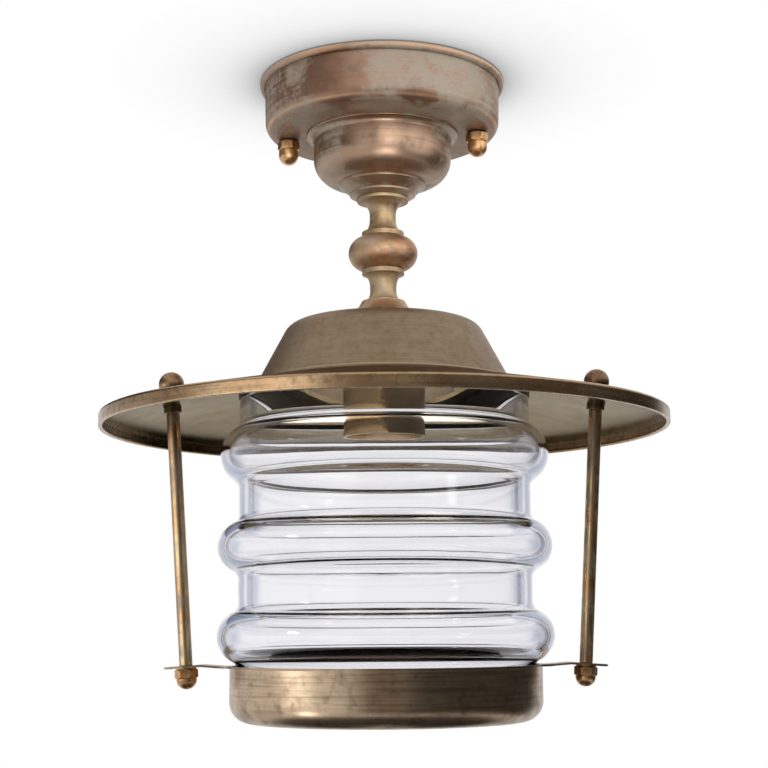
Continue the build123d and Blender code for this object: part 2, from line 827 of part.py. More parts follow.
# Seals above and below the glass
glass_top_seal = turned([
    (seal_inner_radius, brim_underside(seal_inner_radius) - seat_clearance),
    (seal_outer_radius, brim_underside(seal_outer_radius) - seat_clearance),
    (seal_outer_radius, glass_rim_z + seat_clearance),
    (seal_inner_radius, glass_rim_z + seat_clearance),
])
save(glass_top_seal, "glass_top_seal")
# The lower seal fills the cup's corner, so that the glass can't touch the metal
base_seal_inner = glass_neck_radius - glass_wall - base_seal_lip
base_seal_outer = cup_radius - cup_sheet - seat_clearance
base_seal_foot_z = cup_floor_z + seat_clearance
base_seal_outline = [
    (base_seal_inner, cup_rim_z),
    (base_seal_inner, base_seal_foot_z),
    (base_seal_outer, base_seal_foot_z),
    (base_seal_outer, cup_rim_z),
]
base_seal_corner = cup_edge_radius - cup_sheet - seat_clearance
with BuildPart() as base_seal:
    with BuildSketch(Plane.XZ):
        with BuildLine():
            seal_edge = FilletPolyline(*base_seal_outline, radius=[0, base_seal_corner])
            Line(seal_edge @ 0, seal_edge @ 1)
        make_face()
        with Locations((base_seal_outer, glass_foot_z)):
            Rectangle(cup_radius, cup_depth, align=(Align.CENTER, Align.MIN), mode=Mode.SUBTRACT)
    revolve(axis=Axis.Z)
save(base_seal.part, "base_seal")

# Cup that carries the glass
cup_outline = [(cup_radius, cup_rim_z), (cup_radius, cup_foot_z), (0, cup_foot_z)]
save(spun_sheet(cup_outline, cup_edge_radius, cup_sheet, Side.RIGHT), "base_cup")

# Lug ring on the cup's rim: each ear is cranked so that its end is square to the post
ear_tip_radius = post_foot_radius + ear_width / 2
ear_bend_radius = post_foot_radius - ear_pad
ear_flat_radius = cup_radius + ear_flat_run
ear_bend_z = post_foot_z + ear_pad * tan(post_lean)
ear_tip_z = post_foot_z - ear_width / 2 * tan(post_lean)
lug_outline = [
    (-ear_tip_radius, ear_tip_z), (-ear_bend_radius, ear_bend_z), (-ear_flat_radius, ring_top_z),
    (ear_flat_radius, ring_top_z), (ear_bend_radius, ear_bend_z), (ear_tip_radius, ear_tip_z),
]
ring_outer_radius = cup_radius + ring_overhang
slot_width = 2 * (post_foot_thread_radius + slip_clearance)
slot_run = abs(thread_drift) + slip_clearance
with BuildPart() as lug_ring:
    with BuildSketch(Plane.XZ):
        with BuildLine():
            Polyline(*lug_outline)
            offset(amount=lug_sheet, side=Side.RIGHT)
        make_face()
    extrude(amount=ring_outer_radius, both=True)
    with BuildSketch(Plane.XY.offset(cup_foot_z)) as ring_plan:
        Rectangle(2 * post_foot_radius, ear_width)
        with GridLocations(2 * post_foot_radius, 0, 2, 1):
            Circle(ear_width / 2)
        Circle(ring_outer_radius)
        fillet(ring_plan.vertices().group_by(SortBy.DISTANCE)[0], ear_root_round)
        Circle(cup_radius - cup_sheet, mode=Mode.SUBTRACT)
        for sign in sides.values():
            with Locations((sign * (post_foot_radius - thread_drift / 2), 0)):
                SlotCenterToCenter(slot_run, slot_width, mode=Mode.SUBTRACT)
    extrude(amount=2 * cup_depth, mode=Mode.INTERSECT)
save(lug_ring.part, "lug_ring")

# Cap nuts: on the studs under the canopy, and on the posts under the ears
canopy_face = bracket_face.offset(canopy_underside_z)
for side, sign in sides.items():
    stud_foot = canopy_face.from_local_coords((sign * stud_circle_radius, 0, 0))
    stud_plane = Plane(origin=stud_foot, x_dir=canopy_face.x_dir, z_dir=canopy_face.z_dir)
    seal_foot = stud_plane.offset(-canopy_seal_thickness)
    stud_hole = stud_radius + thread_clearance
    canopy_seal = ring(stud_plane, canopy_seal_radius, stud_radius + slip_clearance, canopy_seal_thickness)
    save(canopy_seal, f"{side}_canopy_seal")
    save(cap_nut(seal_foot, canopy_nut_height, stud_hole, canopy_nut_bore_depth), f"{side}_canopy_nut")
    ear_underside = post_plane(sign).offset(-lug_sheet)
    washer_hole = post_foot_thread_radius + slip_clearance
    save(ring(ear_underside, lug_washer_radius, washer_hole, lug_washer_thickness), f"{side}_lug_washer")
    washer_foot = ear_underside.offset(-lug_washer_thickness)
    lug_hole = post_foot_thread_radius + thread_clearance
    save(cap_nut(washer_foot, lug_nut_height, lug_hole, lug_nut_bore_depth), f"{side}_lug_nut")

# Terminal strip on the canopy's floor, with its screws
block_plane = Plane.XY.offset(canopy_floor_z)
block_rows = (block_setback - block_screw_spacing / 2, block_setback + block_screw_spacing / 2)
pole_columns = (-block_pole_spacing, 0, block_pole_spacing)
pole_places = [(x, block_setback) for x in pole_columns]
screw_places = [(x, y) for x in pole_columns for y in block_rows]
block_front = block_setback - block_width / 2
wire_z = canopy_floor_z + block_wire_height
wire_plane = Plane(origin=(0, block_front, wire_z), x_dir=(1, 0, 0), z_dir=(0, 1, 0))
with BuildPart() as terminal_block:
    with BuildSketch(block_plane):
        with Locations((0, block_setback)):
            Rectangle(block_length, block_width)
    extrude(amount=block_web_height)
    with BuildSketch(block_plane):
        with Locations(*pole_places):
            RectangleRounded(2 * block_pole_radius, block_width, block_round)
    extrude(amount=block_height)
    with BuildSketch(wire_plane):
        with GridLocations(block_pole_spacing, 0, 3, 1):
            Circle(block_wire_hole_radius)
    extrude(amount=block_width, mode=Mode.SUBTRACT)
    with BuildSketch(block_plane.offset(block_height)):
        with Locations(*screw_places):
            Circle(block_screw_hole_radius)
    extrude(amount=block_wire_height - block_height, mode=Mode.SUBTRACT)
save(terminal_block.part, "terminal_block")

screw_top = block_plane.offset(block_height - terminal_screw_recess)
with BuildPart() as terminal_screws:
    with BuildSketch(screw_top):
        with Locations(*screw_places):
            Circle(terminal_screw_radius)
    extrude(amount=-terminal_screw_length)
    with BuildSketch(screw_top):
        with Locations(*screw_places):
            Rectangle(2 * terminal_screw_radius, terminal_screw_slot)
    extrude(amount=-terminal_screw_slot, mode=Mode.SUBTRACT)
save(terminal_screws.part, "terminal_screws")


def lead(points):
    """Insulated wire along a route of straight runs, each bend as large as its shorter run allows."""
    route = [Vector(*point) for point in points]
    bends = []
    for before, corner, after in zip(route, route[1:], route[2:]):
        turn = radians((corner - before).get_angle(after - corner))
        shorter_run = min((corner - before).length, (after - corner).length)
        bends.append(bend_share * shorter_run / tan(turn / 2))
    with BuildPart() as wire:
        with BuildLine() as path:
            FilletPolyline(*route, radius=bends)
        with BuildSketch(Plane(origin=path.line @ 0, z_dir=path.line % 0)):
            Circle(lead_radius)
        sweep()
    return wire.part


# Leads from the strip over the tube's top edge and down to the lampholder
lead_end_z = terminal_top_z - terminal_hole_depth + seat_clearance
for name, sign, pole_x in (("live_lead", -1, 0), ("neutral_lead", 1, block_pole_spacing)):
    top_x = sign * lead_offset
    foot_x = sign * terminal_spread
    wire = lead([
        (foot_x, 0, lead_end_z),
        (foot_x, 0, terminal_top_z + lead_lift),
        (top_x, 0, tube_foot_z - lead_spread_drop),
        (top_x, 0, -lead_crest_depth),
        (top_x, lead_crest_run, -lead_crest_depth),
        (pole_x, block_front - lead_straight, wire_z),
        (pole_x, block_front + lead_entry, wire_z),
    ])
    save(wire, name)

# Earthing of the canopy: a stud brazed to its floor, a ring tag, a nut and a short lead
earth_plane = Plane(origin=(earth_stud_x, earth_stud_y, canopy_floor_z))
tag_axis_z = canopy_floor_z + earth_tag_barrel_height
barrel_plane = Plane(origin=(earth_stud_x, earth_stud_y, tag_axis_z), x_dir=(0, 1, 0), z_dir=(1, 0, 0))
with BuildPart() as earth_stud:
    with BuildSketch(earth_plane):
        Circle(earth_stud_radius)
    extrude(amount=earth_stud_height)
save(earth_stud.part, "earth_stud")

with BuildPart() as earth_tag:
    with BuildSketch(barrel_plane.offset(earth_tag_radius - earth_tag_thickness)):
        Circle(earth_tag_barrel_radius)
    extrude(amount=earth_tag_barrel_length)
    with BuildSketch(earth_plane):
        Circle(earth_tag_radius)
    extrude(amount=earth_tag_thickness)
    with BuildSketch(earth_plane):
        Circle(earth_stud_radius + slip_clearance)
    extrude(amount=earth_stud_height, mode=Mode.SUBTRACT)
    with BuildSketch(barrel_plane.offset(earth_tag_radius + earth_tag_thickness)):
        Circle(lead_radius + thread_clearance)
    extrude(amount=earth_tag_barrel_length, mode=Mode.SUBTRACT)
save(earth_tag.part, "earth_tag")

earth_nut_plane = earth_plane.offset(earth_tag_thickness + earth_nut_height)
earth_nut_hole = earth_stud_radius + thread_clearance
save(hex_nut(earth_nut_plane, earth_nut_flats, earth_nut_hole, earth_nut_height), "earth_nut")

earth_lead = lead([
    (earth_stud_x + earth_tag_radius + earth_tag_thickness + seat_clearance, earth_stud_y, tag_axis_z),
    (earth_bend_x, earth_stud_y, tag_axis_z),
    (-block_pole_spacing, block_front - earth_lead_straight, wire_z),
    (-block_pole_spacing, block_front + lead_entry, wire_z),
])
save(earth_lead, "earth_lead")
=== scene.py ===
"""Looks of an aged brass porch lantern with a ribbed clear glass.

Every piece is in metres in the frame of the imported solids: z = 0 is the ceiling, the lantern
hangs along -Z, its posts stand at -X and +X, and -Y is the front.
The lantern's sizes are written in millimetres and turned to metres where a mesh is made. The studio's
are in metres.
"""
import logging
import math
from dataclasses import dataclass
from enum import Enum
from typing import Any, Callable, Mapping, NamedTuple, Sequence, Union

import bmesh
import bpy
from mathutils import Matrix, Vector


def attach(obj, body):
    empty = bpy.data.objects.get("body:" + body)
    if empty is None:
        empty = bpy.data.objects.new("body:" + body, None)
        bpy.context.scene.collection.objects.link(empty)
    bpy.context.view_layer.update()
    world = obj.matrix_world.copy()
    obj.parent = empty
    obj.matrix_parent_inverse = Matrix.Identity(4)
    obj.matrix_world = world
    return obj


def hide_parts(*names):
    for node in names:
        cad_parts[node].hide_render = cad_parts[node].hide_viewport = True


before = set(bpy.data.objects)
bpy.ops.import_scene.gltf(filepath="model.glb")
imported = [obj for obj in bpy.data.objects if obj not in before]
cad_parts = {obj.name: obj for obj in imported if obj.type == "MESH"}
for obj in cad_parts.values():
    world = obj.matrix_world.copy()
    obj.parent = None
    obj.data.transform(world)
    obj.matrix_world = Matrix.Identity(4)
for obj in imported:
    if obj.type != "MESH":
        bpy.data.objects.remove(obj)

LOG = logging.getLogger("lantern")
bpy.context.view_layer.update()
MM = 0.001
# Facets round an axis. The nuts have a multiple of six, so that each of their corners falls on a facet's edge
FINE, MEDIUM, NUT_FACETS, COARSE = 256, 128, 120, 72
RINGS_A_TURN = 6
SHARP_EDGE = math.radians(38)
MITRE_LIMIT = 0.3
# Degrees from one point of an arc to the next, finer where a curve is larger or shows more
ROUND_STEP, COVE_STEP, BELLY_STEP, GLASS_STEP, RIM_STEP, EDGE_STEP = 6.0, 5.0, 4.0, 3.0, 15.0, 30.0
SEAT_STEPS = 4
NEAR = 1e-6
TUBE_HOLE, DOME_TOP = 5.2, -131.6
SIDES = (("left", -1), ("right", 1))

Point = tuple[float, float]
Radius = Union[float, Callable[[float], float]]
Ring = tuple[Radius, float]
Piece = bpy.types.Object
Material = bpy.types.Material
Tree = bpy.types.NodeTree
Node = bpy.types.Node
Socket = bpy.types.NodeSocket
Source = Union[Node, Socket]


# Lines and meshes


def arc(centre: Point, radii: Point, start: float, sweep: float, step: float = ROUND_STEP) -> list[Point]:
    """Points on an arc of a circle or an upright ellipse.

    Args:
        centre: Middle of the ellipse.
        radii: Its half width and half height.
        start: Angle of the first point, in degrees.
        sweep: Angle from the first point to the last, in degrees.
        step: Degrees from one point to the next.

    Returns:
        The points, both ends included.
    """
    count = max(2, math.ceil(abs(sweep) / step))
    angles = [math.radians(start + sweep * i / count) for i in range(count + 1)]
    return [(centre[0] + radii[0] * math.cos(a), centre[1] + radii[1] * math.sin(a)) for a in angles]


def turn(centre: Vector, first: Vector, last: Vector) -> Point:
    """Measures the shorter way round a centre from one place to another.

    Args:
        centre: The centre.
        first: The place where the way starts.
        last: The place where it ends.

    Returns:
        Angle of the first place, and the sweep from it to the last, in degrees.
    """
    start, end = (math.atan2((place - centre).y, (place - centre).x) for place in (first, last))
    return math.degrees(start), math.degrees((end - start + math.pi) % math.tau - math.pi)


def rounded(corners: Sequence[Point], radii: Sequence[float]) -> list[Point]:
    """Rounds the inner corners of an open line.

    Args:
        corners: Points of the line.
        radii: One radius for each inner corner, 0 where it stays sharp.

    Returns:
        The line's points with arcs in place of its corners.
    """
    points = [corners[0]]
    for before, corner, after, radius in zip(corners, corners[1:], corners[2:], radii):
        if radius <= 0:
            points.append(corner)
            continue
        here = Vector(corner)
        back = (Vector(before) - here).normalized()
        ahead = (Vector(after) - here).normalized()
        half = back.angle(ahead) / 2
        centre = here + (back + ahead).normalized() * (radius / math.sin(half))
        reach = radius / math.tan(half)
        ends = here + back * reach, here + ahead * reach
        points += arc(tuple(centre), (radius, radius), *turn(centre, *ends))
    return points + [corners[-1]]


def beside(line: Sequence[Point], thickness: float) -> list[Point]:
    """Line that runs at a sheet's thickness to the right of another line.

    Args:
        line: Points of the open line.
        thickness: Thickness of the sheet.

    Returns:
        One point for each point of the line.
    """
    ways = [(Vector(b) - Vector(a)).normalized() for a, b in zip(line, line[1:])]
    sides = [Vector((way.y, -way.x)) for way in ways]
    moved = []
    for point, before, after in zip(line, sides[:1] + sides, sides + sides[-1:]):
        mitre = (before + after).normalized()
        moved.append(tuple(Vector(point) + mitre * (thickness / max(MITRE_LIMIT, mitre.dot(after)))))
    return moved


def thread(radius: float, pitch: float, top: float, foot: float, depth: float) -> list[Ring]:
    """Rings of a right-hand screw thread, from its top down.

    Args:
        radius: Radius over the crests.
        pitch: Distance from one crest to the next.
        top: Height of the first ring.
        foot: Height of the last ring.
        depth: Depth of the groove.

    Returns:
        Rings for the lathe.
    """
    def at(height: float) -> Callable[[float], float]:
        """Radius at each angle, at a height."""
        return lambda angle: radius - depth * abs(2 * ((height / pitch - angle / math.tau) % 1) - 1)

    count = math.ceil((top - foot) / pitch * RINGS_A_TURN)
    heights = [top + (foot - top) * i / count for i in range(count + 1)]
    return [(at(height), height) for height in heights]


def lathe(name: str, outline: Sequence[Ring], segments: int = MEDIUM, place: Matrix | None = None,
          zones: Sequence[int] = ()) -> Piece:
    """Turns a closed outline about the Z axis.

    Args:
        name: Name of the piece.
        outline: Radius and height of each ring. A radius may be a function of the angle.
        segments: Number of facets round the axis.
        place: Where the turned piece stands, or None on the lantern's own axis.
        zones: Number of the finish from each ring to the next, or nothing where one finish covers all.

    Returns:
        The new piece, in the scene.
    """
    form = bmesh.new()
    angles = [math.tau * i / segments for i in range(segments)]
    rings = []
    for radius, height in outline:
        if not callable(radius) and radius < NEAR:
            rings.append([form.verts.new((0, 0, height * MM))] * segments)
            continue
        reach = [(radius(a) if callable(radius) else radius) * MM for a in angles]
        rings.append([form.verts.new((r * math.cos(a), r * math.sin(a), height * MM))
                      for r, a in zip(reach, angles)])
    for upper, lower, finish in zip(rings, rings[1:] + rings[:1], zones or [0] * len(rings)):
        for i in range(segments):
            j = (i + 1) % segments
            corners = list(dict.fromkeys((upper[i], upper[j], lower[j], lower[i])))
            if len(corners) > 2:
                form.faces.new(corners).material_index = finish
    if place is not None:
        form.transform(place)
    return solid(name, form)


def solid(name: str, form: bmesh.types.BMesh) -> Piece:
    """Makes a smooth-shaded piece of a finished form, with its sharp edges kept sharp.

    Args:
        name: Name of the piece.
        form: The form, which is freed.

    Returns:
        The new piece, in the scene.
    """
    bmesh.ops.recalc_face_normals(form, faces=form.faces[:])
    for edge in form.edges:
        edge.smooth = len(edge.link_faces) == 2 and edge.calc_face_angle() < SHARP_EDGE
    for face in form.faces:
        face.smooth = True
    mesh = bpy.data.meshes.new(name)
    form.to_mesh(mesh)
    form.free()
    piece = bpy.data.objects.new(name, mesh)
    bpy.context.scene.collection.objects.link(piece)
    return piece


# Materials

# Scale of a noise whose blots are about a metre across
NOISE_SCALE = 0.6
# Values between which a layer fades in
CLOUD_RAMP, MOTTLE_RAMP, LINE_RAMP = (0.36, 0.64), (0.46, 0.72), (0.40, 0.75)
WEAR_RAMP, PLAIN_RAMP = (0.15, 0.6), (0.35, 0.7)
WEAR_SHARE = 0.9
# How far grain goes into the speckle, and lathe lines into the relief
SPECKLE_GRAIN, LINE_RELIEF, BUMP_STRENGTH = 0.5, 0.8, 0.5
# How far mottle spreads the roughness, and what the verdigris layer, which on the sleeve is painted shade,
# adds to it and takes from the metal's shine
BRASS_SPREAD, PLAIN_SPREAD = 0.22, 0.2
PATINA_ROUGHENS, PATINA_DULLS = 0.25, 0.8
# Verdigris, and the sleeve's painted shade: size of their blots, how far lines and speckle break them up,
# their mean, and half their soft edge
BLOT_MM, LINE_BREAK, SPECKLE_BREAK, BREAK_MEAN, COVER_SOFT = 20.0, 0.55, 0.7, 0.8, 0.2
# How far blots push a spot's border about, and the share of its reach where it is full
SPOT_PUSH, SPOT_CORE = 24.0 * MM, 0.3
# Turns of noise for each metre along the lines, round the axis and up and down
RUN_AROUND, RUN_ALONG = 22.0, 25.0
# Height plus this much of the radius runs on along any spun profile, flat or upright
PROFILE_LEAN = -1.37
BLEND = {"operation": "MULTIPLY_ADD"}
FLATTEN = {"operation": "MULTIPLY", 1: (1.0, 1.0, 0.0)}
SMOOTH = {"interpolation_type": "SMOOTHSTEP"}
WHITE = "ffffff"


def colour(code: str) -> tuple[float, float, float, float]:
    """Turns an sRGB hex code into a linear colour.

    Args:
        code: Six hex digits, such as 8a6a4a.

    Returns:
        Red, green, blue and alpha.
    """
    parts = [int(code[i:i + 2], 16) / 255 for i in (0, 2, 4)]
    linear = [p / 12.92 if p <= 0.04045 else ((p + 0.055) / 1.055) ** 2.4 for p in parts]
    return (linear[0], linear[1], linear[2], 1.0)


def wire(tree: Tree, node: Node, settings: Mapping[Any, Any] | None = None,
         links: Mapping[Any, Source] | None = None) -> Node:
    """Sets and links a node.

    Args:
        tree: The tree that has the node.
        node: The node.
        settings: Properties by name, and values of input sockets by their name or number.
        links: Sources of input sockets, by the socket's name or number. A node gives its first output.

    Returns:
        The same node.
    """
    for key, value in (settings or {}).items():
        if isinstance(key, str) and key not in node.inputs and hasattr(node, key):
            setattr(node, key, value)
        else:
            node.inputs[key].default_value = value
    for key, source in (links or {}).items():
        tree.links.new(source.outputs[0] if isinstance(source, Node) else source, node.inputs[key])
    return node


def add(tree: Tree, kind: str, settings: Mapping[Any, Any] | None = None,
        links: Mapping[Any, Source] | None = None) -> Node:
    """Adds a node of a kind, which is Blender's name for it without ShaderNode, and wires it."""
    return wire(tree, tree.nodes.new(f"ShaderNode{kind}"), settings, links)


def blank(name: str) -> tuple[Material, Tree, Node]:
    """Makes a material with nothing set.

    Args:
        name: Name of the material.

    Returns:
        The material, its tree and its own Principled shader.
    """
    material = bpy.data.materials.new(name)
    material.use_nodes = True
    return material, material.node_tree, material.node_tree.nodes["Principled BSDF"]


class Brushing(Enum):
    """Which way the fine lines of a brushed or spun surface run."""

    AROUND = "around the lantern's axis"
    ALONG = "up and down"


class Layer(NamedTuple):
    """Colour that covers what is under it, from nothing to most as a value rises from low to high."""

    source: Source
    low: float
    high: float
    most: float
    code: str
    dulls: bool = False


@dataclass(frozen=True)
class AgedBrass:
    """Brass that was spun or turned, aged in acid and rubbed back by hand.

    It gives a brown to olive metal with clouds of warmer and darker tone, fine lines from the
    lathe, pale verdigris where it was not rubbed off, and worn edges that shine. On the sleeve the
    verdigris layer carries painted shade instead, and a ring of painted shade can darken an edge.
    """

    name: str
    body: str
    warm: str
    dark: str
    roughness: float = 0.4
    metallic: float = 0.92
    cloud_mm: float = 34.0
    mottle_mm: float = 7.0
    dark_share: float = 0.35
    # Lines from the lathe are finer than a pixel, so they are drawn about four times as wide
    line_mm: float = 1.1
    line_share: float = 0.25
    brushing: Brushing = Brushing.AROUND
    grain_mm: float = 0.8
    bump_mm: float = 0.04
    # Colour, share and edge of the verdigris layer; the sleeve uses it for painted shade
    patina_and_shade: str = "b4b3a6"
    patina_share: float = 0.0
    patina_edge: float = 0.5
    # Place and reach of spots in millimetres, and how much more or less of the verdigris layer they have; on
    # the sleeve that layer is painted shade
    spots: tuple[tuple[float, float, float, float, float], ...] = ()
    worn: str = "d2ab7c"
    # Height and half width, in millimetres, of edges that were rubbed after and before the verdigris grew
    worn_bands: tuple[Point, ...] = ()
    covered_bands: tuple[Point, ...] = ()
    # Radii in millimetres between which painted shade darkens the metal towards the outer one, and how dark
    # it gets
    shade_ring: tuple[float, float, float] = (0.0, 1000.0, 0.0)
    # Colour of a glancing reflection, darker where the surface is dull, and on the brim's top darker as
    # painted shade
    glance: str = WHITE

    def build(self) -> Material:
        """Makes the material.

        Returns:
            The finished material.
        """
        material, tree, shader = blank(self.name)
        place = add(tree, "TexCoord").outputs["Object"]
        axes = add(tree, "SeparateXYZ", links={0: place})
        lines = self.lines(tree, place, axes)
        clouds, mottle, grain = (
            add(tree, "TexNoise", {"Scale": NOISE_SCALE / (size * MM), "Detail": 6.0, "Roughness": 0.6},
                {"Vector": place})
            for size in (self.cloud_mm, self.mottle_mm, self.grain_mm))
        layers = [Layer(clouds, *CLOUD_RAMP, 1.0, self.warm),
                  Layer(mottle, *MOTTLE_RAMP, self.dark_share, self.dark),
                  Layer(lines, *LINE_RAMP, self.line_share, self.dark)]
        layers += [self.wear(tree, axes, clouds, *band) for band in self.covered_bands]
        # Verdigris layer; on the sleeve it is painted shade
        if self.patina_share > 0:
            speckle = add(tree, "Math", BLEND | {1: SPECKLE_GRAIN}, {0: grain, 2: mottle})
            cover = self.verdigris_and_shade(tree, place, lines, speckle)
            layers.append(Layer(cover, 0.0, 1.0, self.patina_share, self.patina_and_shade, dulls=True))
        layers += [self.wear(tree, axes, clouds, *band) for band in self.worn_bands]
        # Painted shade: a ring that darkens the metal towards its outer radius
        if self.shade_ring[2] > 0:
            flat = add(tree, "VectorMath", {"operation": "MULTIPLY", 1: (1 / MM, 1 / MM, 0.0)}, {0: place})
            radius = add(tree, "VectorMath", {"operation": "LENGTH"}, {0: flat})
            layers.append(Layer(radius.outputs["Value"], *self.shade_ring, self.dark))

        wire(tree, shader, {"Metallic": self.metallic, "Specular Tint": colour(self.glance)})
        rough = add(tree, "Math", BLEND | {1: BRASS_SPREAD, 2: self.roughness - BRASS_SPREAD / 2},
                    {0: mottle})
        tone: dict[int, Source] = {}
        for layer in layers:
            share = add(tree, "MapRange", SMOOTH | {1: layer.low, 2: layer.high, 4: layer.most},
                        {0: layer.source})
            mixed = add(tree, "Mix", {"data_type": "RGBA", 6: colour(self.body), 7: colour(layer.code)},
                        {0: share, **tone})
            tone = {6: mixed.outputs[2]}
            if layer.dulls:
                rough = add(tree, "Math", BLEND | {1: PATINA_ROUGHENS}, {0: share, 2: rough})
                shine = add(tree, "Math", BLEND | {1: -PATINA_DULLS, 2: self.metallic}, {0: share})
                wire(tree, shader, links={"Metallic": shine})
        relief = add(tree, "Math", BLEND | {1: LINE_RELIEF}, {0: lines, 2: grain})
        bump = add(tree, "Bump", {"Strength": BUMP_STRENGTH, "Distance": self.bump_mm * MM},
                   {"Height": relief})
        wire(tree, shader, links={"Base Color": tone[6], "Roughness": rough, "Normal": bump})
        return material

    def lines(self, tree: Tree, place: Socket, axes: Node) -> Node:
        """Fine lines of the lathe or the brush, as a value from 0 to 1.

        Args:
            tree: The material's tree.
            place: The place on the surface.
            axes: The same place, one coordinate at a time.

        Returns:
            The node that gives the value.
        """
        across = 1 / (self.line_mm * MM)
        run: Source = place
        stretch = (across, across, RUN_ALONG)
        if self.brushing is Brushing.AROUND:
            flat = add(tree, "VectorMath", FLATTEN, {0: place})
            radius = add(tree, "VectorMath", {"operation": "LENGTH"}, {0: flat})
            along = add(tree, "Math", BLEND | {1: PROFILE_LEAN},
                        {0: radius.outputs["Value"], 2: axes.outputs["Z"]})
            run = add(tree, "CombineXYZ", links={0: axes.outputs["X"], 1: axes.outputs["Y"], 2: along})
            stretch = (RUN_AROUND, RUN_AROUND, across)
        stretched = add(tree, "VectorMath", {"operation": "MULTIPLY", 1: stretch}, {0: run})
        return add(tree, "TexNoise", {"Scale": 1.0, "Detail": 3.0}, {"Vector": stretched})

    def verdigris_and_shade(self, tree: Tree, place: Socket, lines: Node, speckle: Node) -> Node:
        """How far the verdigris layer covers the metal, in ragged blots that brush lines and speckle break
        up; on the sleeve it is painted shade.

        Args:
            tree: The material's tree.
            place: The place on the surface.
            lines: Lines of the brush.
            speckle: Small blots and grain.

        Returns:
            The node that gives the value, from 0 to 1.
        """
        blots = add(tree, "TexNoise",
                    {"Scale": NOISE_SCALE / (BLOT_MM * MM), "Detail": 9.0, "Roughness": 0.72},
                    {"Vector": place})
        cover = add(tree, "Math", BLEND | {1: LINE_BREAK}, {0: lines, 2: blots})
        cover = add(tree, "Math", BLEND | {1: SPECKLE_BREAK}, {0: speckle, 2: cover})
        ragged = add(tree, "VectorMath", BLEND | {1: (SPOT_PUSH,) * 3}, {0: blots.outputs["Color"], 2: place})
        for *spot, reach, more in self.spots:
            middle = [axis * MM + SPOT_PUSH / 2 for axis in spot]
            gap = add(tree, "VectorMath", {"operation": "DISTANCE", 1: middle}, {0: ragged})
            ramp = {1: reach * MM * SPOT_CORE, 2: reach * MM, 3: more, 4: 0.0}
            change = add(tree, "MapRange", SMOOTH | ramp, {0: gap.outputs["Value"]})
            cover = add(tree, "Math", {"operation": "ADD"}, {0: cover, 1: change})
        edge = self.patina_edge + BREAK_MEAN
        return add(tree, "MapRange", {1: edge - COVER_SOFT, 2: edge + COVER_SOFT}, {0: cover})

    def wear(self, tree: Tree, axes: Node, clouds: Node, height: float, half: float) -> Layer:
        """Broken line of bright metal where an edge is rubbed.

        Args:
            tree: The material's tree.
            axes: The place on the surface, one coordinate at a time.
            clouds: Large blots that break the line up.
            height: Height of the edge, in millimetres.
            half: Half width of the line, in millimetres.

        Returns:
            The layer of colour.
        """
        above = add(tree, "Math", {"operation": "SUBTRACT", 1: height * MM}, {0: axes.outputs["Z"]})
        away = add(tree, "Math", {"operation": "ABSOLUTE"}, {0: above})
        near = add(tree, "MapRange", {2: half * MM, 3: 1.0, 4: 0.0}, {0: away})
        rubbed = add(tree, "Math", {"operation": "MULTIPLY"}, {0: near, 1: clouds})
        return Layer(rubbed, *WEAR_RAMP, WEAR_SHARE, self.worn)


@dataclass(frozen=True)
class PressedGlass:
    """Clear soda glass pressed into a mould: faintly wavy, with a blue-grey tint where it is thick."""

    name: str = "clear soda glass, pressed"
    tint: str = "cbc9dc"
    density: float = 38.0
    wave_mm: float = 22.0
    wave_depth_mm: float = 0.6
    wave_strength: float = 0.25
    ior: float = 1.5

    def build(self) -> Material:
        """Makes the material.

        Returns:
            The finished material.
        """
        material, tree, shader = blank(self.name)
        place = add(tree, "TexCoord").outputs["Object"]
        waves = add(tree, "TexNoise", {"Scale": NOISE_SCALE / (self.wave_mm * MM), "Detail": 2.0},
                    {"Vector": place})
        bump = add(tree, "Bump", {"Strength": self.wave_strength, "Distance": self.wave_depth_mm * MM},
                   {"Height": waves})
        wire(tree, shader, {"Base Color": colour(WHITE), "Roughness": 0.0, "IOR": self.ior,
                            "Transmission Weight": 1.0}, {"Normal": bump})
        deep = add(tree, "VolumeAbsorption", {"Color": colour(self.tint), "Density": self.density})
        wire(tree, tree.nodes["Material Output"], links={"Volume": deep})
        return material


@dataclass(frozen=True)
class PlainFinish:
    """A moulded, glazed, plated or extruded material with a little mottle and grain."""

    name: str
    body: str
    shade: str
    roughness: float
    metallic: float = 0.0
    mottle_mm: float = 5.0
    grain_mm: float = 0.6
    bump_mm: float = 0.03
    coat: float = 0.0
    specular: float = 0.5

    def build(self) -> Material:
        """Makes the material.

        Returns:
            The finished material.
        """
        material, tree, shader = blank(self.name)
        place = add(tree, "TexCoord").outputs["Object"]
        mottle, grain = (
            add(tree, "TexNoise", {"Scale": NOISE_SCALE / (size * MM), "Detail": 5.0, "Roughness": 0.6},
                {"Vector": place})
            for size in (self.mottle_mm, self.grain_mm))
        share = add(tree, "MapRange", SMOOTH | {1: PLAIN_RAMP[0], 2: PLAIN_RAMP[1]}, {0: mottle})
        tone = add(tree, "Mix", {"data_type": "RGBA", 6: colour(self.body), 7: colour(self.shade)},
                   {0: share})
        rough = add(tree, "Math", BLEND | {1: PLAIN_SPREAD, 2: self.roughness - PLAIN_SPREAD / 2},
                    {0: mottle})
        bump = add(tree, "Bump", {"Strength": BUMP_STRENGTH, "Distance": self.bump_mm * MM},
                   {"Height": grain})
        wire(tree, shader,
             {"Metallic": self.metallic, "Coat Weight": self.coat, "Specular IOR Level": self.specular},
             {"Base Color": tone.outputs[2], "Roughness": rough, "Normal": bump})
        return material


Finish = Union[AgedBrass, PressedGlass, PlainFinish]

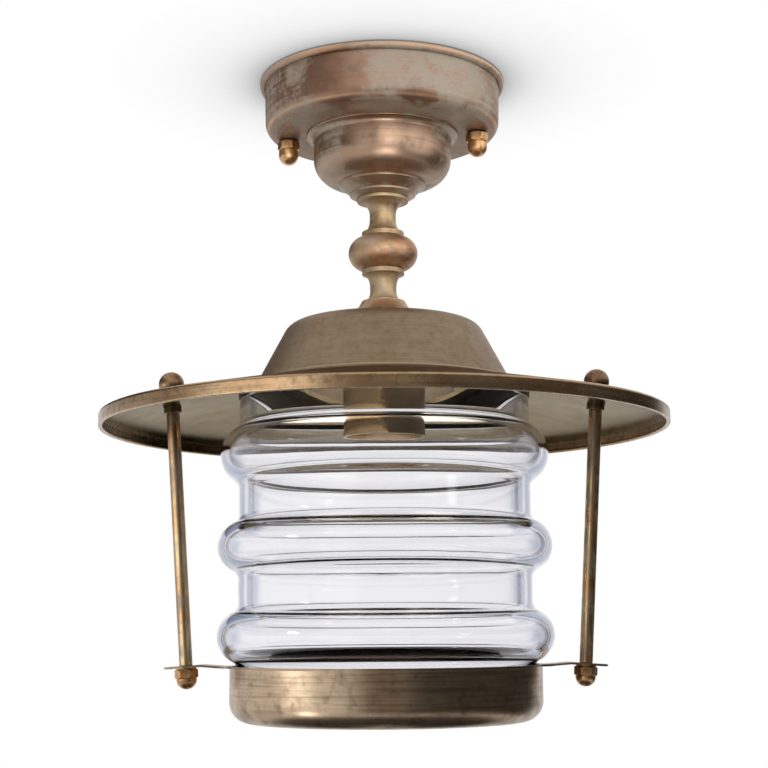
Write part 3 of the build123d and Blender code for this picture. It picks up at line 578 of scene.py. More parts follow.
# Copper-brown canopy under brushed verdigris, with a bare patch left of its middle
CANOPY_BRASS = AgedBrass(
    "aged brass, spun canopy", "a5826d", "936f59", "5a483c", roughness=0.48, metallic=0.9, mottle_mm=4.0,
    grain_mm=1.0, patina_and_shade="b7b1a2", patina_share=0.64, patina_edge=0.51,
    spots=((-27.0, -58.0, -17.0, 24.0, -0.36), (22.0, -60.0, -13.0, 58.0, 0.17),
           (-50.0, -40.0, -29.0, 30.0, 0.08), (18.0, -60.0, -28.0, 12.0, -0.3),
           (-34.0, -50.0, -28.0, 14.0, 0.2)),
    worn="dcb08a", worn_bands=((-1.6, 3.4),), covered_bands=((-26.6, 2.0),))
# Smoother bowl, rubbed bare in front, with verdigris left beside the bare place
BOWL_BRASS = AgedBrass(
    "aged brass, spun bowl", "ad9079", "9a7a62", "4d3d31", roughness=0.38, mottle_mm=4.5,
    patina_and_shade="a7a99b", patina_share=0.6, patina_edge=0.55,
    spots=((8.0, -37.0, -48.0, 34.0, -0.4), (-33.0, -18.0, -46.0, 26.0, 0.03),
           (12.0, -40.0, -33.0, 14.0, 0.2)),
    worn="b99272", worn_bands=((-57.2, 0.6), (-62.6, 0.5)))
# Straw-coloured spools with a dusty bloom in their coves
SPOOL_BRASS = AgedBrass(
    "aged brass, turned spools", "bda17c", "ab8c68", "5c4c36", roughness=0.46, cloud_mm=12.0, mottle_mm=3.0,
    patina_and_shade="b3ac98", patina_share=0.4, worn="c9ae88", worn_bands=((-66.0, 0.9), (-122.0, 0.8)))
# Redder metal of the knop and the collar, with a little grey on the knop's shoulder
KNOP_BRASS = AgedBrass(
    "red-brown aged brass, turned", "c79d7c", "ab835f", "5c4532", roughness=0.42, cloud_mm=12.0,
    mottle_mm=3.5, dark_share=0.4, patina_and_shade="a8a391", patina_share=0.5, patina_edge=0.6,
    spots=((-8.0, -13.0, -87.0, 13.0, 0.25),))
# Dull olive-brown dome with faint speckle and a rubbed foot
DOME_BRASS = AgedBrass(
    "aged brass, spun dome", "98876f", "8f7860", "5a4c3b", roughness=0.5, mottle_mm=2.2, dark_share=0.22,
    worn="b09b80", worn_bands=((-167.2, 1.2),))
# The dome's inside is pale and matt as painted reflection, standing in for the bright glints beside the
# sleeve
DOME_INSIDE_PAINTED_REFLECTION = AgedBrass(
    "pale painted reflection, inside of the dome", "d6d1c4", "c6bfae", "8a8374", roughness=0.5, metallic=0.0,
    dark_share=0.2)
# Shiny lip with lathe lines and small dark flecks
BRIM_BRASS = AgedBrass(
    "aged brass, spun brim", "a58c6d", "937557", "3f3225", roughness=0.26, line_share=0.4, mottle_mm=2.6,
    dark_share=0.5, cloud_mm=22.0, worn="bb9b74", worn_bands=((-192.0, 0.7), (-185.9, 0.6)))
# Painted shade darkens the brim's top and its glancing reflection; dust greys the underside to olive, and
# painted shade darkens it towards the lip
BRIM_TOP_SHADED_BRASS = AgedBrass(
    "aged brass darkened as painted shade, top of the brim", "765f47", "645039", "382b1f", roughness=0.55, mottle_mm=4.0,
    dark_share=0.5, glance="8a745c", worn="a58a66", worn_bands=((-185.6, 0.7),))
BRIM_UNDER_BRASS = AgedBrass(
    "olive aged brass, underside of the brim", "857864", "7c6d58", "453c30", roughness=0.22, dark_share=0.2,
    line_share=0.12, bump_mm=0.02, shade_ring=(112.0, 150.0, 0.6), glance="e7e1d3")
# Posts with long drawn lines and grey stains
POST_BRASS = AgedBrass(
    "aged brass, drawn posts", "b09a77", "a67d52", "54442f", roughness=0.32, cloud_mm=16.0, mottle_mm=4.0,
    dark_share=0.3, brushing=Brushing.ALONG, bump_mm=0.01, patina_and_shade="8e9794", patina_share=0.5, patina_edge=0.6)
# Silky cup with strong lathe lines and bright rims
CUP_BRASS = AgedBrass(
    "aged brass, spun cup", "b9a389", "a68d75", "453b32", roughness=0.31, line_share=0.42, mottle_mm=4.0,
    dark_share=0.5, cloud_mm=26.0, worn="c9ae8a", worn_bands=((-343.0, 0.8), (-316.2, 0.8)))
# The cup's inside wall is near black as painted shade, and its floor is dull brown
CUP_INSIDE_SHADE = PlainFinish(
    "near-black painted shade, inside of the cup", "12100e", "1c1712", 0.9, mottle_mm=14.0, specular=0.05)
CUP_FLOOR_BRASS = AgedBrass(
    "dull brown brass, floor of the cup", "957c5e", "836a4c", "4d3d2b", roughness=0.5, metallic=0.35,
    mottle_mm=5.0)
# Painted shade darkens the sleeve's right front in two dark blots, and its lower edge is bright
SLEEVE_SHADED_BRASS = AgedBrass(
    "aged brass, drawn sleeve", "cbae84", "b29269", "4a3b2a", roughness=0.24, cloud_mm=20.0, dark_share=0.2,
    patina_and_shade="2c2118", patina_share=0.85, patina_edge=1.0,
    spots=((21.0, -12.0, -168.0, 37.0, 0.8), (21.0, -12.0, -190.0, 37.0, 0.6)),
    worn="ecd3a6", worn_bands=((-194.9, 0.9),))
# Golden nuts with brown blotches
NUT_BRASS = AgedBrass(
    "golden brass, turned nuts", "dcb281", "c39464", "5f432b", roughness=0.34, cloud_mm=7.0, mottle_mm=2.5,
    dark_share=0.45)
# Brown round nuts on the brim, and olive collars in its shade
BALL_BRASS = AgedBrass(
    "brown aged brass, turned", "9a7b5d", "85664c", "3d2e21", roughness=0.38, cloud_mm=10.0, mottle_mm=3.0)
COLLAR_BRASS = AgedBrass(
    "olive aged brass, turned", "857458", "786447", "3d3325", roughness=0.32, cloud_mm=10.0, mottle_mm=3.0)
# Clean yellow metal inside, where no acid reached
FITTING_BRASS = AgedBrass("plain brass, turned", "c2a468", "b8955c", "7a6540", roughness=0.3, cloud_mm=12.0)
CLEAR_GLASS = PressedGlass()
# Matt black rubber, glossy cream porcelain, grey satin steel, off-white plastic and wires in their colours
SEAL_RUBBER = PlainFinish("black rubber, moulded", "1c1c1c", "262524", 0.6)
PORCELAIN = PlainFinish("porcelain, glazed", "ece7dc", "e0d9ca", 0.22, coat=0.6)
ZINC_STEEL = PlainFinish("steel, zinc plated", "b9bab8", "9fa09d", 0.38, metallic=1.0)
POLYAMIDE = PlainFinish("polyamide, moulded", "e6e4da", "dad7cb", 0.45)
BROWN_PVC = PlainFinish("brown PVC, extruded", "5a3420", "4c2b1a", 0.42)
BLUE_PVC = PlainFinish("blue PVC, extruded", "2f5f9e", "28548d", 0.42)
EARTH_PVC = PlainFinish("green and yellow PVC, extruded", "6f9a2c", "c9b428", 0.42, mottle_mm=4.0)


class Bench:
    """Keeps each material once, and puts finishes and bodies on pieces and solids."""

    def __init__(self) -> None:
        """Starts with no material made."""
        self.made: dict[str, Material] = {}

    def material(self, finish: Finish) -> Material:
        """Finds the material of a finish, or makes it when it is first asked for.

        Args:
            finish: The finish.

        Returns:
            Its material.
        """
        if finish.name not in self.made:
            self.made[finish.name] = finish.build()
        return self.made[finish.name]

    def dress(self, piece: Piece, finish: Finish, *nodes: str, body: str = "lantern",
              slot: str = "aged_brass", more: Sequence[Finish] = ()) -> None:
        """Finishes a new piece and sets it in place of its solids.

        Args:
            piece: The piece.
            finish: Its finish.
            nodes: The solids that it stands for.
            body: The body that it moves with.
            slot: The record's material slot; not used.
            more: Finishes of its other zones.
        """
        for each in (finish, *more):
            piece.data.materials.append(self.material(each))
        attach(piece, body)
        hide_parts(*nodes)
        LOG.info("%s stands for %s on %s", piece.name, ", ".join(nodes), body)

    def paint(self, finish: Finish, *nodes: str) -> None:
        """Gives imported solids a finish, with their shape as it is.

        Args:
            finish: The finish.
            nodes: The solids, by the names of their nodes.
        """
        for node in nodes:
            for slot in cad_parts[node].material_slots:
                slot.material = self.material(finish)
            LOG.info("%s keeps its solid", node)


# Sub-assemblies


@dataclass
class CeilingFixing:
    """Bracket on the ceiling, its two studs and their lock nuts."""

    stud_circle: float = 52.1
    stud_turn: float = -7.0
    stud_radius: float = 3.0
    stud_pitch: float = 1.0
    stud_groove: float = 0.5
    stud_neck: float = 2.5
    stud_end: float = -38.5
    end_chamfer: Point = (0.7, 0.6)
    seat: float = -6.0
    head_radius: float = 5.0
    head_height: float = 4.0
    head_rounds: Point = (1.2, 0.3)

    def build(self, bench: Bench) -> None:
        """Makes the threaded studs and finishes the bracket.

        Args:
            bench: Gives finishes and bodies.
        """
        top = self.seat + self.head_height
        head = rounded([(0, top), (self.head_radius, top), (self.head_radius, self.seat),
                        (self.stud_radius, self.seat)], self.head_rounds)
        shank = thread(self.stud_radius, self.stud_pitch, self.seat - self.stud_neck,
                       self.stud_end + self.end_chamfer[1], self.stud_groove)
        end = [(self.stud_radius - self.end_chamfer[0], self.stud_end), (0, self.stud_end)]
        for side, sign in SIDES:
            stud = lathe(f"{side}_stud", head + shank + end, COARSE, self.stud_place(sign))
            bench.dress(stud, ZINC_STEEL, "bracket_studs", body="ceiling_fixing", slot="zinc_plated_steel")
        bench.paint(ZINC_STEEL, "mounting_bracket", "stud_lock_nuts")

    def stud_place(self, sign: int, height: float = 0.0) -> Matrix:
        """Place at a height on the left or right stud's axis."""
        rotation = Matrix.Rotation(math.radians(self.stud_turn), 4, "Z")
        return rotation @ Matrix.Translation((sign * self.stud_circle * MM, 0, height * MM))


@dataclass(frozen=True)
class CapNut:
    """Domed cap nut: a hexagon with turned-off corners, a groove and a round cap over a blind bore."""

    height: float
    bore: float
    bore_depth: float
    flats: float = 10.8
    hex_height: float = 4.8
    # Parts of half the width over the flats: the turned-off corners, and the ends' round faces
    corner_share: float = 1.135
    face_share: float = 0.985
    chamfer: float = 1.5
    chamfer_steps: tuple[float, ...] = (0.0, 0.12, 0.25, 0.4, 0.6, 0.9)
    cap_radius: float = 5.35
    groove: float = 0.35
    groove_steps: tuple[float, float, float] = (0.05, 0.35, 0.7)
    countersink: float = 0.4
    drill_tip: float = 0.5

    def outline(self) -> list[Ring]:
        """Rings of the nut, which hangs below height 0.

        Returns:
            Rings for the lathe.
        """
        rings: list[Ring] = [(self.bore, -self.bore_depth), (self.bore, -self.countersink),
                             (self.bore + self.countersink, 0)]
        rings += [(self.hexagon(depth), -depth) for depth in self.chamfer_steps]
        rings += [(self.hexagon(depth), depth - self.hex_height) for depth in reversed(self.chamfer_steps)]
        waist = self.cap_radius - self.groove
        rings += [(radius, -self.hex_height - depth)
                  for radius, depth in zip((waist, waist, self.cap_radius), self.groove_steps)]
        rings += arc((0, self.cap_radius - self.height), (self.cap_radius, self.cap_radius), 0, -90)[:-1]
        return rings + [(0, -self.height), (0, -self.bore_depth - self.bore * self.drill_tip)]

    def hexagon(self, depth: float) -> Callable[[float], float]:
        """Radius of the hexagon with its turned-off corners.

        Args:
            depth: Depth from its nearer end.

        Returns:
            The radius as a function of the angle.
        """
        apothem = self.flats / 2
        limit = min(apothem * self.corner_share, apothem * self.face_share + depth * self.chamfer)
        return lambda angle: min(apothem / math.cos(angle % (math.pi / 3) - math.pi / 6), limit)


@dataclass
class Canopy:
    """Spun canopy with a rolled bead, the bowl under it, and the cap nuts that hold both."""

    depth: float = 29.3
    wall: float = 1.2
    bead_radius: float = 1.9
    bead_centre: float = 65.0
    bead_roll: float = 292.0
    top_radius: float = 64.3
    foot_radius: float = 63.7
    edge: float = 6.4
    seal: float = 0.8
    nut: CapNut = CapNut(height=13.1, bore=3.05, bore_depth=9.0)
    # Radius and depth below the canopy of the bowl's corners outside: flange, belly, two steps and foot
    bowl_line: tuple[Point, ...] = (
        (41.5, 0.0), (41.5, 1.2), (37.5, 1.2), (37.5, 27.3), (23.6, 27.3), (23.6, 28.3), (18.0, 32.8),
        (18.0, 33.8), (14.3, 35.5), (TUBE_HOLE, 35.5))
    bowl_rounds: tuple[float, ...] = (0.4, 3.2, 13.5, 0.3, 0.4, 0.3, 0.4, 0.3)
    inside_line: tuple[Point, ...] = (
        (36.3, 0.0), (36.3, 26.1), (22.4, 26.1), (14.3, 33.5), (TUBE_HOLE, 33.5))
    inside_rounds: tuple[float, ...] = (12.3, 1.2, 1.2)

    def build(self, bench: Bench, fixing: CeilingFixing) -> None:
        """Makes the canopy, the bowl and the nuts.

        Args:
            bench: Gives finishes and bodies.
            fixing: Has the studs that the nuts go on.
        """
        bench.dress(lathe("canopy_shell", self.canopy_outline(), FINE), CANOPY_BRASS, "canopy")
        outer, inner = (
            rounded([(radius, -self.depth - depth) for radius, depth in line], rounds)
            for line, rounds in ((self.bowl_line, self.bowl_rounds), (self.inside_line, self.inside_rounds)))
        bench.dress(lathe("bowl_shell", outer + inner[::-1], FINE), BOWL_BRASS, "canopy_bowl")
        rings = self.nut.outline()
        for side, sign in SIDES:
            place = fixing.stud_place(sign, -self.depth - self.seal)
            piece = lathe(f"{side}_canopy_cap_nut", rings, NUT_FACETS, place)
            bench.dress(piece, NUT_BRASS, f"{side}_canopy_nut", body=f"{side}_canopy_nut")
        bench.paint(SEAL_RUBBER, "left_canopy_seal", "right_canopy_seal")

    def canopy_outline(self) -> list[Point]:
        """Canopy: the bead, the wall and the floor.

        Returns:
            Its closed outline.
        """
        floor = self.wall - self.depth
        bead = arc((self.bead_centre, -self.bead_radius), (self.bead_radius, self.bead_radius), 180,
                   -self.bead_roll)
        outer = rounded([bead[-1], (self.foot_radius, -self.depth), (TUBE_HOLE, -self.depth)], [self.edge])
        inner = rounded([(self.top_radius - self.wall, -self.bead_radius),
                         (self.foot_radius - self.wall, floor), (TUBE_HOLE, floor)], [self.edge - self.wall])
        return bead + outer[1:] + inner[::-1][:-1]


@dataclass(frozen=True)
class Spool:
    """Turned spool: a band at each end, and a cove from each band to the neck."""

    top: float
    neck_at: float
    foot: float
    top_band: float
    top_radius: float
    foot_band: float
    foot_radius: float
    neck: float = 7.1
    neck_half: float = 1.0
    lip: float = 0.6
    top_round: float = 0.25
    foot_round: float = 0.2

    def outline(self) -> list[Point]:
        """Spool, from its top down.

        Returns:
            Its closed outline.
        """
        neck_top, neck_foot = self.neck_at + self.neck_half, self.neck_at - self.neck_half
        band, base_band = self.top - self.top_band, self.foot + self.foot_band
        top_lip, foot_lip = self.top_radius - self.lip, self.foot_radius - self.lip
        upper = arc((top_lip, neck_top), (top_lip - self.neck, band - neck_top), 90, 90, COVE_STEP)
        lower = arc((foot_lip, neck_foot), (foot_lip - self.neck, neck_foot - base_band), 180, 90, COVE_STEP)
        head = rounded([(TUBE_HOLE, self.top), (self.top_radius, self.top), (self.top_radius, band),
                        upper[0]], [self.top_round] * 2)
        base = rounded([lower[-1], (self.foot_radius, base_band), (self.foot_radius, self.foot),
                        (TUBE_HOLE, self.foot)], [self.foot_round] * 2)
        return head[:-1] + upper + lower + base[1:]


@dataclass
class Stem:
    """Two turned spools with a knop between them, and the collar on the dome."""

    upper: Spool = Spool(-64.8, -75.2, -86.4, 1.9, 14.0, 2.7, 11.4)
    lower: Spool = Spool(-104.6, -115.6, -122.6, 2.7, 11.4, 0.6, 11.6)
    knop_radius: float = 18.7
    knop_end: float = 9.6
    collar_radius: float = 20.5
    collar_edge: float = 1.4
    collar_round: float = 0.4
    dome_top: float = DOME_TOP
    collar_neck: float = 12.0
    # Radius and depth below the collar's top of a place that its trumpet runs through
    trumpet_middle: Point = (14.2, 3.6)

    def build(self, bench: Bench) -> None:
        """Makes the four turned pieces.

        Args:
            bench: Gives finishes and bodies.
        """
        red = "copper_toned_brass"
        for name, outline, finish, slot, node in (
                ("upper_spool_turned", self.upper.outline(), SPOOL_BRASS, "aged_brass", "upper_spool"),
                ("knop_turned", self.knop(), KNOP_BRASS, red, "stem_knop"),
                ("lower_spool_turned", self.lower.outline(), SPOOL_BRASS, "aged_brass", "lower_spool"),
                ("collar_turned", self.collar(), KNOP_BRASS, red, "dome_collar")):
            bench.dress(lathe(name, outline), finish, node, slot=slot)
        bench.paint(FITTING_BRASS, "threaded_tube", "tube_top_washer", "tube_top_nut")

    def knop(self) -> list[Point]:
        """Knop: a round belly between two flat ends.

        Returns:
            Its closed outline.
        """
        top, foot = self.upper.foot, self.lower.top
        half = (top - foot) / 2
        bulge = (self.knop_radius**2 - self.knop_end**2 - half**2) / (2 * (self.knop_radius - self.knop_end))
        swing = math.degrees(math.atan2(half, self.knop_end - bulge))
        reach = self.knop_radius - bulge
        belly = arc((bulge, (top + foot) / 2), (reach, reach), swing, -2 * swing, BELLY_STEP)
        return belly + [(TUBE_HOLE, foot), (TUBE_HOLE, top)]

    def collar(self) -> list[Point]:
        """Collar: a trumpet with an upright edge.

        Returns:
            Its closed outline.
        """
        top, edge = self.lower.foot, self.dome_top + self.collar_edge
        middle = (self.trumpet_middle[0], top - self.trumpet_middle[1])
        trumpet = self.through((self.collar_neck, top), middle, (self.collar_radius, edge))
        foot = rounded([(self.collar_radius, edge), (self.collar_radius, self.dome_top),
                        (TUBE_HOLE, self.dome_top)], [self.collar_round])
        return trumpet + foot[1:] + [(TUBE_HOLE, top)]

    @staticmethod
    def through(first: Point, second: Point, third: Point) -> list[Point]:
        """Arc from a point to another through one between them.

        Args:
            first: The first point.
            second: The one between.
            third: The last point.

        Returns:
            Points on the arc, both ends included.
        """
        start, middle, end = (Vector(point) for point in (first, second, third))
        a, b = middle - start, end - start
        across = 2 * (a.x * b.y - a.y * b.x)
        x = (b.y * a.length_squared - a.y * b.length_squared) / across
        y = (a.x * b.length_squared - b.x * a.length_squared) / across
        centre, radius = start + Vector((x, y)), math.hypot(x, y)
        return arc(tuple(centre), (radius, radius), *turn(centre, start, end), BELLY_STEP)


@dataclass
class Shade:
    """Spun dome and the wide conical brim with its hemmed lip."""

    wall: float = 1.0
    dome_top: float = DOME_TOP
    # Radius and depth below the dome's top of its corners
    dome_line: tuple[Point, ...] = ((TUBE_HOLE, 0.0), (27.0, 0.0), (50.9, 3.9), (68.3, 36.6), (71.1, 36.6))
    dome_rounds: tuple[float, ...] = (40.0, 10.0, 1.6)
    land: float = -169.2
    hole_radius: float = 60.0
    land_radius: float = 72.5
    land_round: float = 6.0
    brim_radius: float = 150.0
    lip_top: float = -185.5
    lip_round: float = 1.4
    lip_foot: float = -192.3
    lip_width: float = 2.0
    hem_start: float = 0.5
    hem_width: float = 2.2
    hem_height: float = 2.0
    hem_rounds: tuple[float, ...] = (0.45, 0.9, 0.9)

    def build(self, bench: Bench) -> None:
        """Makes the dome and the brim.

        Args:
            bench: Gives finishes and bodies.
        """
        face = rounded([(radius, self.dome_top - depth) for radius, depth in self.dome_line],
                       self.dome_rounds)
        outline = face + beside(face, self.wall)[::-1]
        # The outside is zone 0, and the inside, pale as painted reflection, is 1
        piece = lathe("dome_spun", outline, FINE, zones=[0] * len(face) + [1] * len(face))
        bench.dress(piece, DOME_BRASS, "dome", more=(DOME_INSIDE_PAINTED_REFLECTION,))

        hem_at = (self.brim_radius, self.lip_foot + self.hem_start)
        inside, hem_top = self.brim_radius - self.hem_width, self.lip_foot + self.hem_height
        face = rounded([(self.hole_radius, self.land), (self.land_radius, self.land),
                        (self.brim_radius, self.lip_top), hem_at], [self.land_round, self.lip_round])
        hem = rounded([hem_at, (self.brim_radius, self.lip_foot), (inside, self.lip_foot), (inside, hem_top),
                       (self.brim_radius - self.wall, hem_top)], self.hem_rounds)[1:]
        under = beside(face, self.wall)[::-1][1:]
        # The lip and hem are zone 0, the top is 1 and the underside is 2
        top = [int(radius < self.brim_radius - self.lip_width) for radius, _ in face]
        piece = lathe("brim_spun", face + hem + under, FINE, zones=top + [0] * len(hem) + [2] * len(under))
        bench.dress(piece, BRIM_BRASS, "brim", more=(BRIM_TOP_SHADED_BRASS, BRIM_UNDER_BRASS))
        bench.paint(FITTING_BRASS, "dome_clamp_washer", "dome_lock_nut")
        bench.paint(SEAL_RUBBER, "glass_top_seal")

    def top_at(self, radius: float) -> float:
        """Height of the brim's upper face at a radius."""
        return self.land - (radius - self.land_radius) * self.slope

    def underside_at(self, radius: float) -> float:
        """Height of the brim's lower face at a radius."""
        return self.top_at(radius) - self.wall * math.hypot(1.0, self.slope)

    @property
    def slope(self) -> float:
        """How far the brim falls for each millimetre outwards."""
        return (self.land - self.lip_top) / (self.brim_radius - self.land_radius)


@dataclass
class Lampholder:
    """Brass sleeve round the porcelain lampholder."""

    top: float = -138.1
    foot: float = -195.1
    radius: float = 21.8
    top_round: float = 5.0
    wall: float = 1.2

    def build(self, bench: Bench) -> None:
        """Makes the sleeve and finishes the holder's solids.

        Args:
            bench: Gives finishes and bodies.
        """
        half = self.wall / 2
        face = rounded([(TUBE_HOLE, self.top), (self.radius, self.top), (self.radius, self.foot)],
                       [self.top_round])
        edge = arc((self.radius - half, self.foot + half), (half, half), 0, -180, EDGE_STEP)
        sleeve = face[:-1] + edge + beside(face, self.wall)[::-1][1:]
        bench.dress(lathe("sleeve_drawn", sleeve), SLEEVE_SHADED_BRASS, "holder_sleeve")
        bench.paint(PORCELAIN, "holder_cap", "lampholder_body")
        bench.paint(FITTING_BRASS, "screw_shell", "centre_contact")


@dataclass
class Cradle:
    """Ribbed glass in its cup, with the lug ring on the cup's rim."""

    rim: float = -175.2
    foot: float = -338.7
    neck: float = 76.8
    wall: float = 4.0
    cove: float = 5.0
    # Depth below the rim, radius and rounding of each bulge
    bulges: tuple[tuple[float, float, float], ...] = (
        (30.4, 86.6, 15.5), (78.5, 87.6, 13.5), (124.8, 87.8, 14.0))
    cup_radius: float = 81.0
    cup_rim: float = -315.9
    cup_foot: float = -343.4
    cup_round: float = 10.5
    cup_wall: float = 1.2
    floor_radius: float = 72.0

    def build(self, bench: Bench) -> None:
        """Makes the glass and the cup.

        Args:
            bench: Gives finishes and bodies.
        """
        glass = lathe("ribbed_glass", self.glass_outline(), FINE)
        bench.dress(glass, CLEAR_GLASS, "glass", body="cradle", slot="clear_glass")
        face = rounded([(self.cup_radius, self.cup_rim), (self.cup_radius, self.cup_foot),
                        (0.0, self.cup_foot)], [self.cup_round])
        inner = [(0.0, self.cup_foot + self.cup_wall)] + beside(face, self.cup_wall)[::-1][1:]
        # The outside is zone 0, the wall inside, near black as painted shade, is 1 and the floor is 2
        zones = [0] * len(face) + [2 if radius < self.floor_radius else 1 for radius, _ in inner]
        piece = lathe("cup_spun", face + inner, FINE, zones=zones)
        bench.dress(piece, CUP_BRASS, "base_cup", body="cradle", more=(CUP_INSIDE_SHADE, CUP_FLOOR_BRASS))
        bench.paint(CUP_BRASS, "lug_ring")
        bench.paint(SEAL_RUBBER, "base_seal")

    def glass_outline(self) -> list[Point]:
        """Glass: a straight neck with round bulges, and melted edges.

        Returns:
            Its closed outline.
        """
        outer: list[Point] = [(self.neck, self.rim)]
        for depth, radius, rounding in self.bulges:
            outer += self.bulge(self.rim - depth, radius, rounding)
        outer.append((self.neck, self.foot))
        inner = beside(outer, self.wall)[::-1]
        half = self.wall / 2
        top = arc((self.neck - half, self.rim - half), (half, half), 180, -180, RIM_STEP)
        base = arc((self.neck - half, self.foot + half), (half, half), 0, -180, RIM_STEP)
        return top + outer[1:-1] + base + inner[1:-1]

    def bulge(self, level: float, radius: float, rounding: float) -> list[Point]:
        """One bulge, from the cove above it to the cove below it.

        Args:
            level: Height of its middle.
            radius: Its largest radius.
            rounding: Radius of its own round.

        Returns:
            Points of its outside.
        """
        crown, cove = radius - rounding, self.neck + self.cove
        half = math.sqrt((rounding + self.cove) ** 2 - (cove - crown) ** 2)
        swing = math.degrees(math.atan2(half, cove - crown))
        above = arc((cove, level + half), (self.cove, self.cove), 180, swing, BELLY_STEP)
        belly = arc((crown, level), (rounding, rounding), swing, -2 * swing, GLASS_STEP)
        below = arc((cove, level - half), (self.cove, self.cove), 180 - swing, swing, BELLY_STEP)
        return above + belly[1:-1] + below


@dataclass
class Posts:
    """Slanted posts with their collars and round nuts at the brim, and the cap nuts under the lugs."""

    radius: float = 3.45
    foot_at: float = 104.0
    top_at: float = 112.9
    foot_height: float = -314.5
    foot_chamfer: float = 0.3
    # The plain thread through the brim, from its shoulder to its top, and the slip in what is screwed on it
    thread_radius: float = 3.0
    thread_shoulder: float = -1.1
    thread_top: float = 9.5
    slip: float = 0.05
    # The rolled thread at the foot: radius, pitch, groove, plain neck, length, and chamfer of its end
    foot_thread: float = 2.5
    foot_pitch: float = 0.8
    foot_groove: float = 0.4
    foot_neck: float = 1.2
    foot_length: float = 9.4
    end_chamfer: Point = (0.6, 0.5)
    collar_radius: float = 4.7
    collar_height: float = 3.4
    collar_round: float = 0.5
    ball_radius: float = 6.8
    ball_neck: float = 5.8
    ball_top: float = 19.0
    ball_bore: float = 10.0
    drill_tip: float = 1.0
    lug_sheet: float = 1.1
    washer: float = 0.6
    nut: CapNut = CapNut(height=10.4, bore=2.55, bore_depth=8.4)

    def build(self, bench: Bench, shade: Shade) -> None:
        """Makes each post with what is screwed on it.

        Args:
            bench: Gives finishes and bodies.
            shade: Has the brim that the posts go through.
        """
        rise = shade.underside_at(self.top_at) - self.foot_height
        lean = math.atan2(self.top_at - self.foot_at, rise)
        length = rise / math.cos(lean)
        rings = self.nut.outline()
        for side, sign in SIDES:
            place = Matrix.Translation((sign * self.foot_at * MM, 0, self.foot_height * MM))
            place = place @ Matrix.Rotation(sign * lean, 4, "Y")
            hung = place @ Matrix.Translation((0, 0, -(self.lug_sheet + self.washer) * MM))
            post = lathe(f"{side}_post_drawn", self.post(length), COARSE, place)
            bench.dress(post, POST_BRASS, f"{side}_post")
            ball = lathe(f"{side}_ball_nut_turned", self.ball(length), COARSE, place)
            self.seat(ball, place, length, shade.top_at)
            bench.dress(ball, BALL_BRASS, f"{side}_ball_nut")
            collar = lathe(f"{side}_post_collar_turned", self.collar(length), COARSE, place)
            self.seat(collar, place, length, shade.underside_at)
            bench.dress(collar, COLLAR_BRASS, f"{side}_post_collar")
            piece = lathe(f"{side}_lug_cap_nut", rings, NUT_FACETS, hung)
            bench.dress(piece, NUT_BRASS, f"{side}_lug_nut", body=f"{side}_lug_nut")
        bench.paint(FITTING_BRASS, "left_lug_washer", "right_lug_washer")

    def post(self, length: float) -> list[Ring]:
        """Post whose lower shoulder is at height 0.

        Args:
            length: Distance from the post's shoulder to the brim's underside.

        Returns:
            Rings for the lathe.
        """
        top, shoulder = length + self.thread_top, length + self.thread_shoulder
        shaft = [(0, top), (self.thread_radius, top), (self.thread_radius, shoulder), (self.radius, shoulder),
                 (self.radius, self.foot_chamfer), (self.radius - self.foot_chamfer, 0.0)]
        end = -self.foot_length
        rolled = thread(self.foot_thread, self.foot_pitch, -self.foot_neck, end + self.end_chamfer[1],
                        self.foot_groove)
        return shaft + rolled + [(self.foot_thread - self.end_chamfer[0], end), (0, end)]

    def ball(self, length: float) -> list[Point]:
        """Round nut with a blind bore, on the brim.

        Args:
            length: Distance from the post's shoulder to the brim's underside.

        Returns:
            Its closed outline.
        """
        under = math.degrees(math.acos(self.ball_neck / self.ball_radius))
        top, bore = length + self.ball_top, self.thread_radius + self.slip
        ball = arc((0, top - self.ball_radius), (self.ball_radius, self.ball_radius), 90, -90 - under)[1:]
        inside = [(self.ball_neck, length), (bore, length), (bore, length + self.ball_bore),
                  (0, length + self.ball_bore + self.drill_tip)]
        return [(0.0, top)] + ball + inside

    def collar(self, length: float) -> list[Point]:
        """Collar under the brim.

        Args:
            length: Distance from the post's shoulder to the brim's underside.

        Returns:
            Its closed outline.
        """
        bore, foot = self.radius + self.slip, length - self.collar_height
        return rounded([(bore, length), (self.collar_radius, length), (self.collar_radius, foot),
                        (bore, foot)], [0, self.collar_round])

    @staticmethod
    def seat(piece: Piece, place: Matrix, level: float, height_at: Callable[[float], float]) -> None:
        """Moves the ring of a turned piece that meets the brim on to the brim's slanting face.

        Args:
            piece: The turned piece.
            place: Where it stands.
            level: Height of that ring on the piece's own axis.
            height_at: Height of the brim's face at a radius.
        """
        back = place.inverted()
        along = (place.to_3x3() @ Vector((0, 0, 1))).normalized()
        for vertex in piece.data.vertices:
            if abs((back @ vertex.co).z - level * MM) > NEAR:
                continue
            # The radius changes as the vertex slides, so a few steps find the place
            for _ in range(SEAT_STEPS):
                gap = height_at(vertex.co.xy.length / MM) * MM - vertex.co.z
                vertex.co += along * gap


class Wiring:
    """Terminal strip, leads and earthing inside the canopy."""

    def build(self, bench: Bench) -> None:
        """Finishes the solids of the wiring.

        Args:
            bench: Gives finishes and bodies.
        """
        bench.paint(POLYAMIDE, "terminal_block")
        bench.paint(ZINC_STEEL, "terminal_screws")
        bench.paint(FITTING_BRASS, "earth_stud", "earth_tag", "earth_nut")
        bench.paint(BROWN_PVC, "live_lead")
        bench.paint(BLUE_PVC, "neutral_lead")
        bench.paint(EARTH_PVC, "earth_lead")


# Studio


@dataclass(frozen=True)
class Card:
    """Grey card with soft sides that shows only in the lantern's metal, through its glass, or in both."""

    name: str
    grey: str
    left: float
    right: float
    low: float
    high: float
    soft: float = 10.0
    in_metal: bool = True
    through_glass: bool = False
    shades: bool = True
    distance: float = 1.6


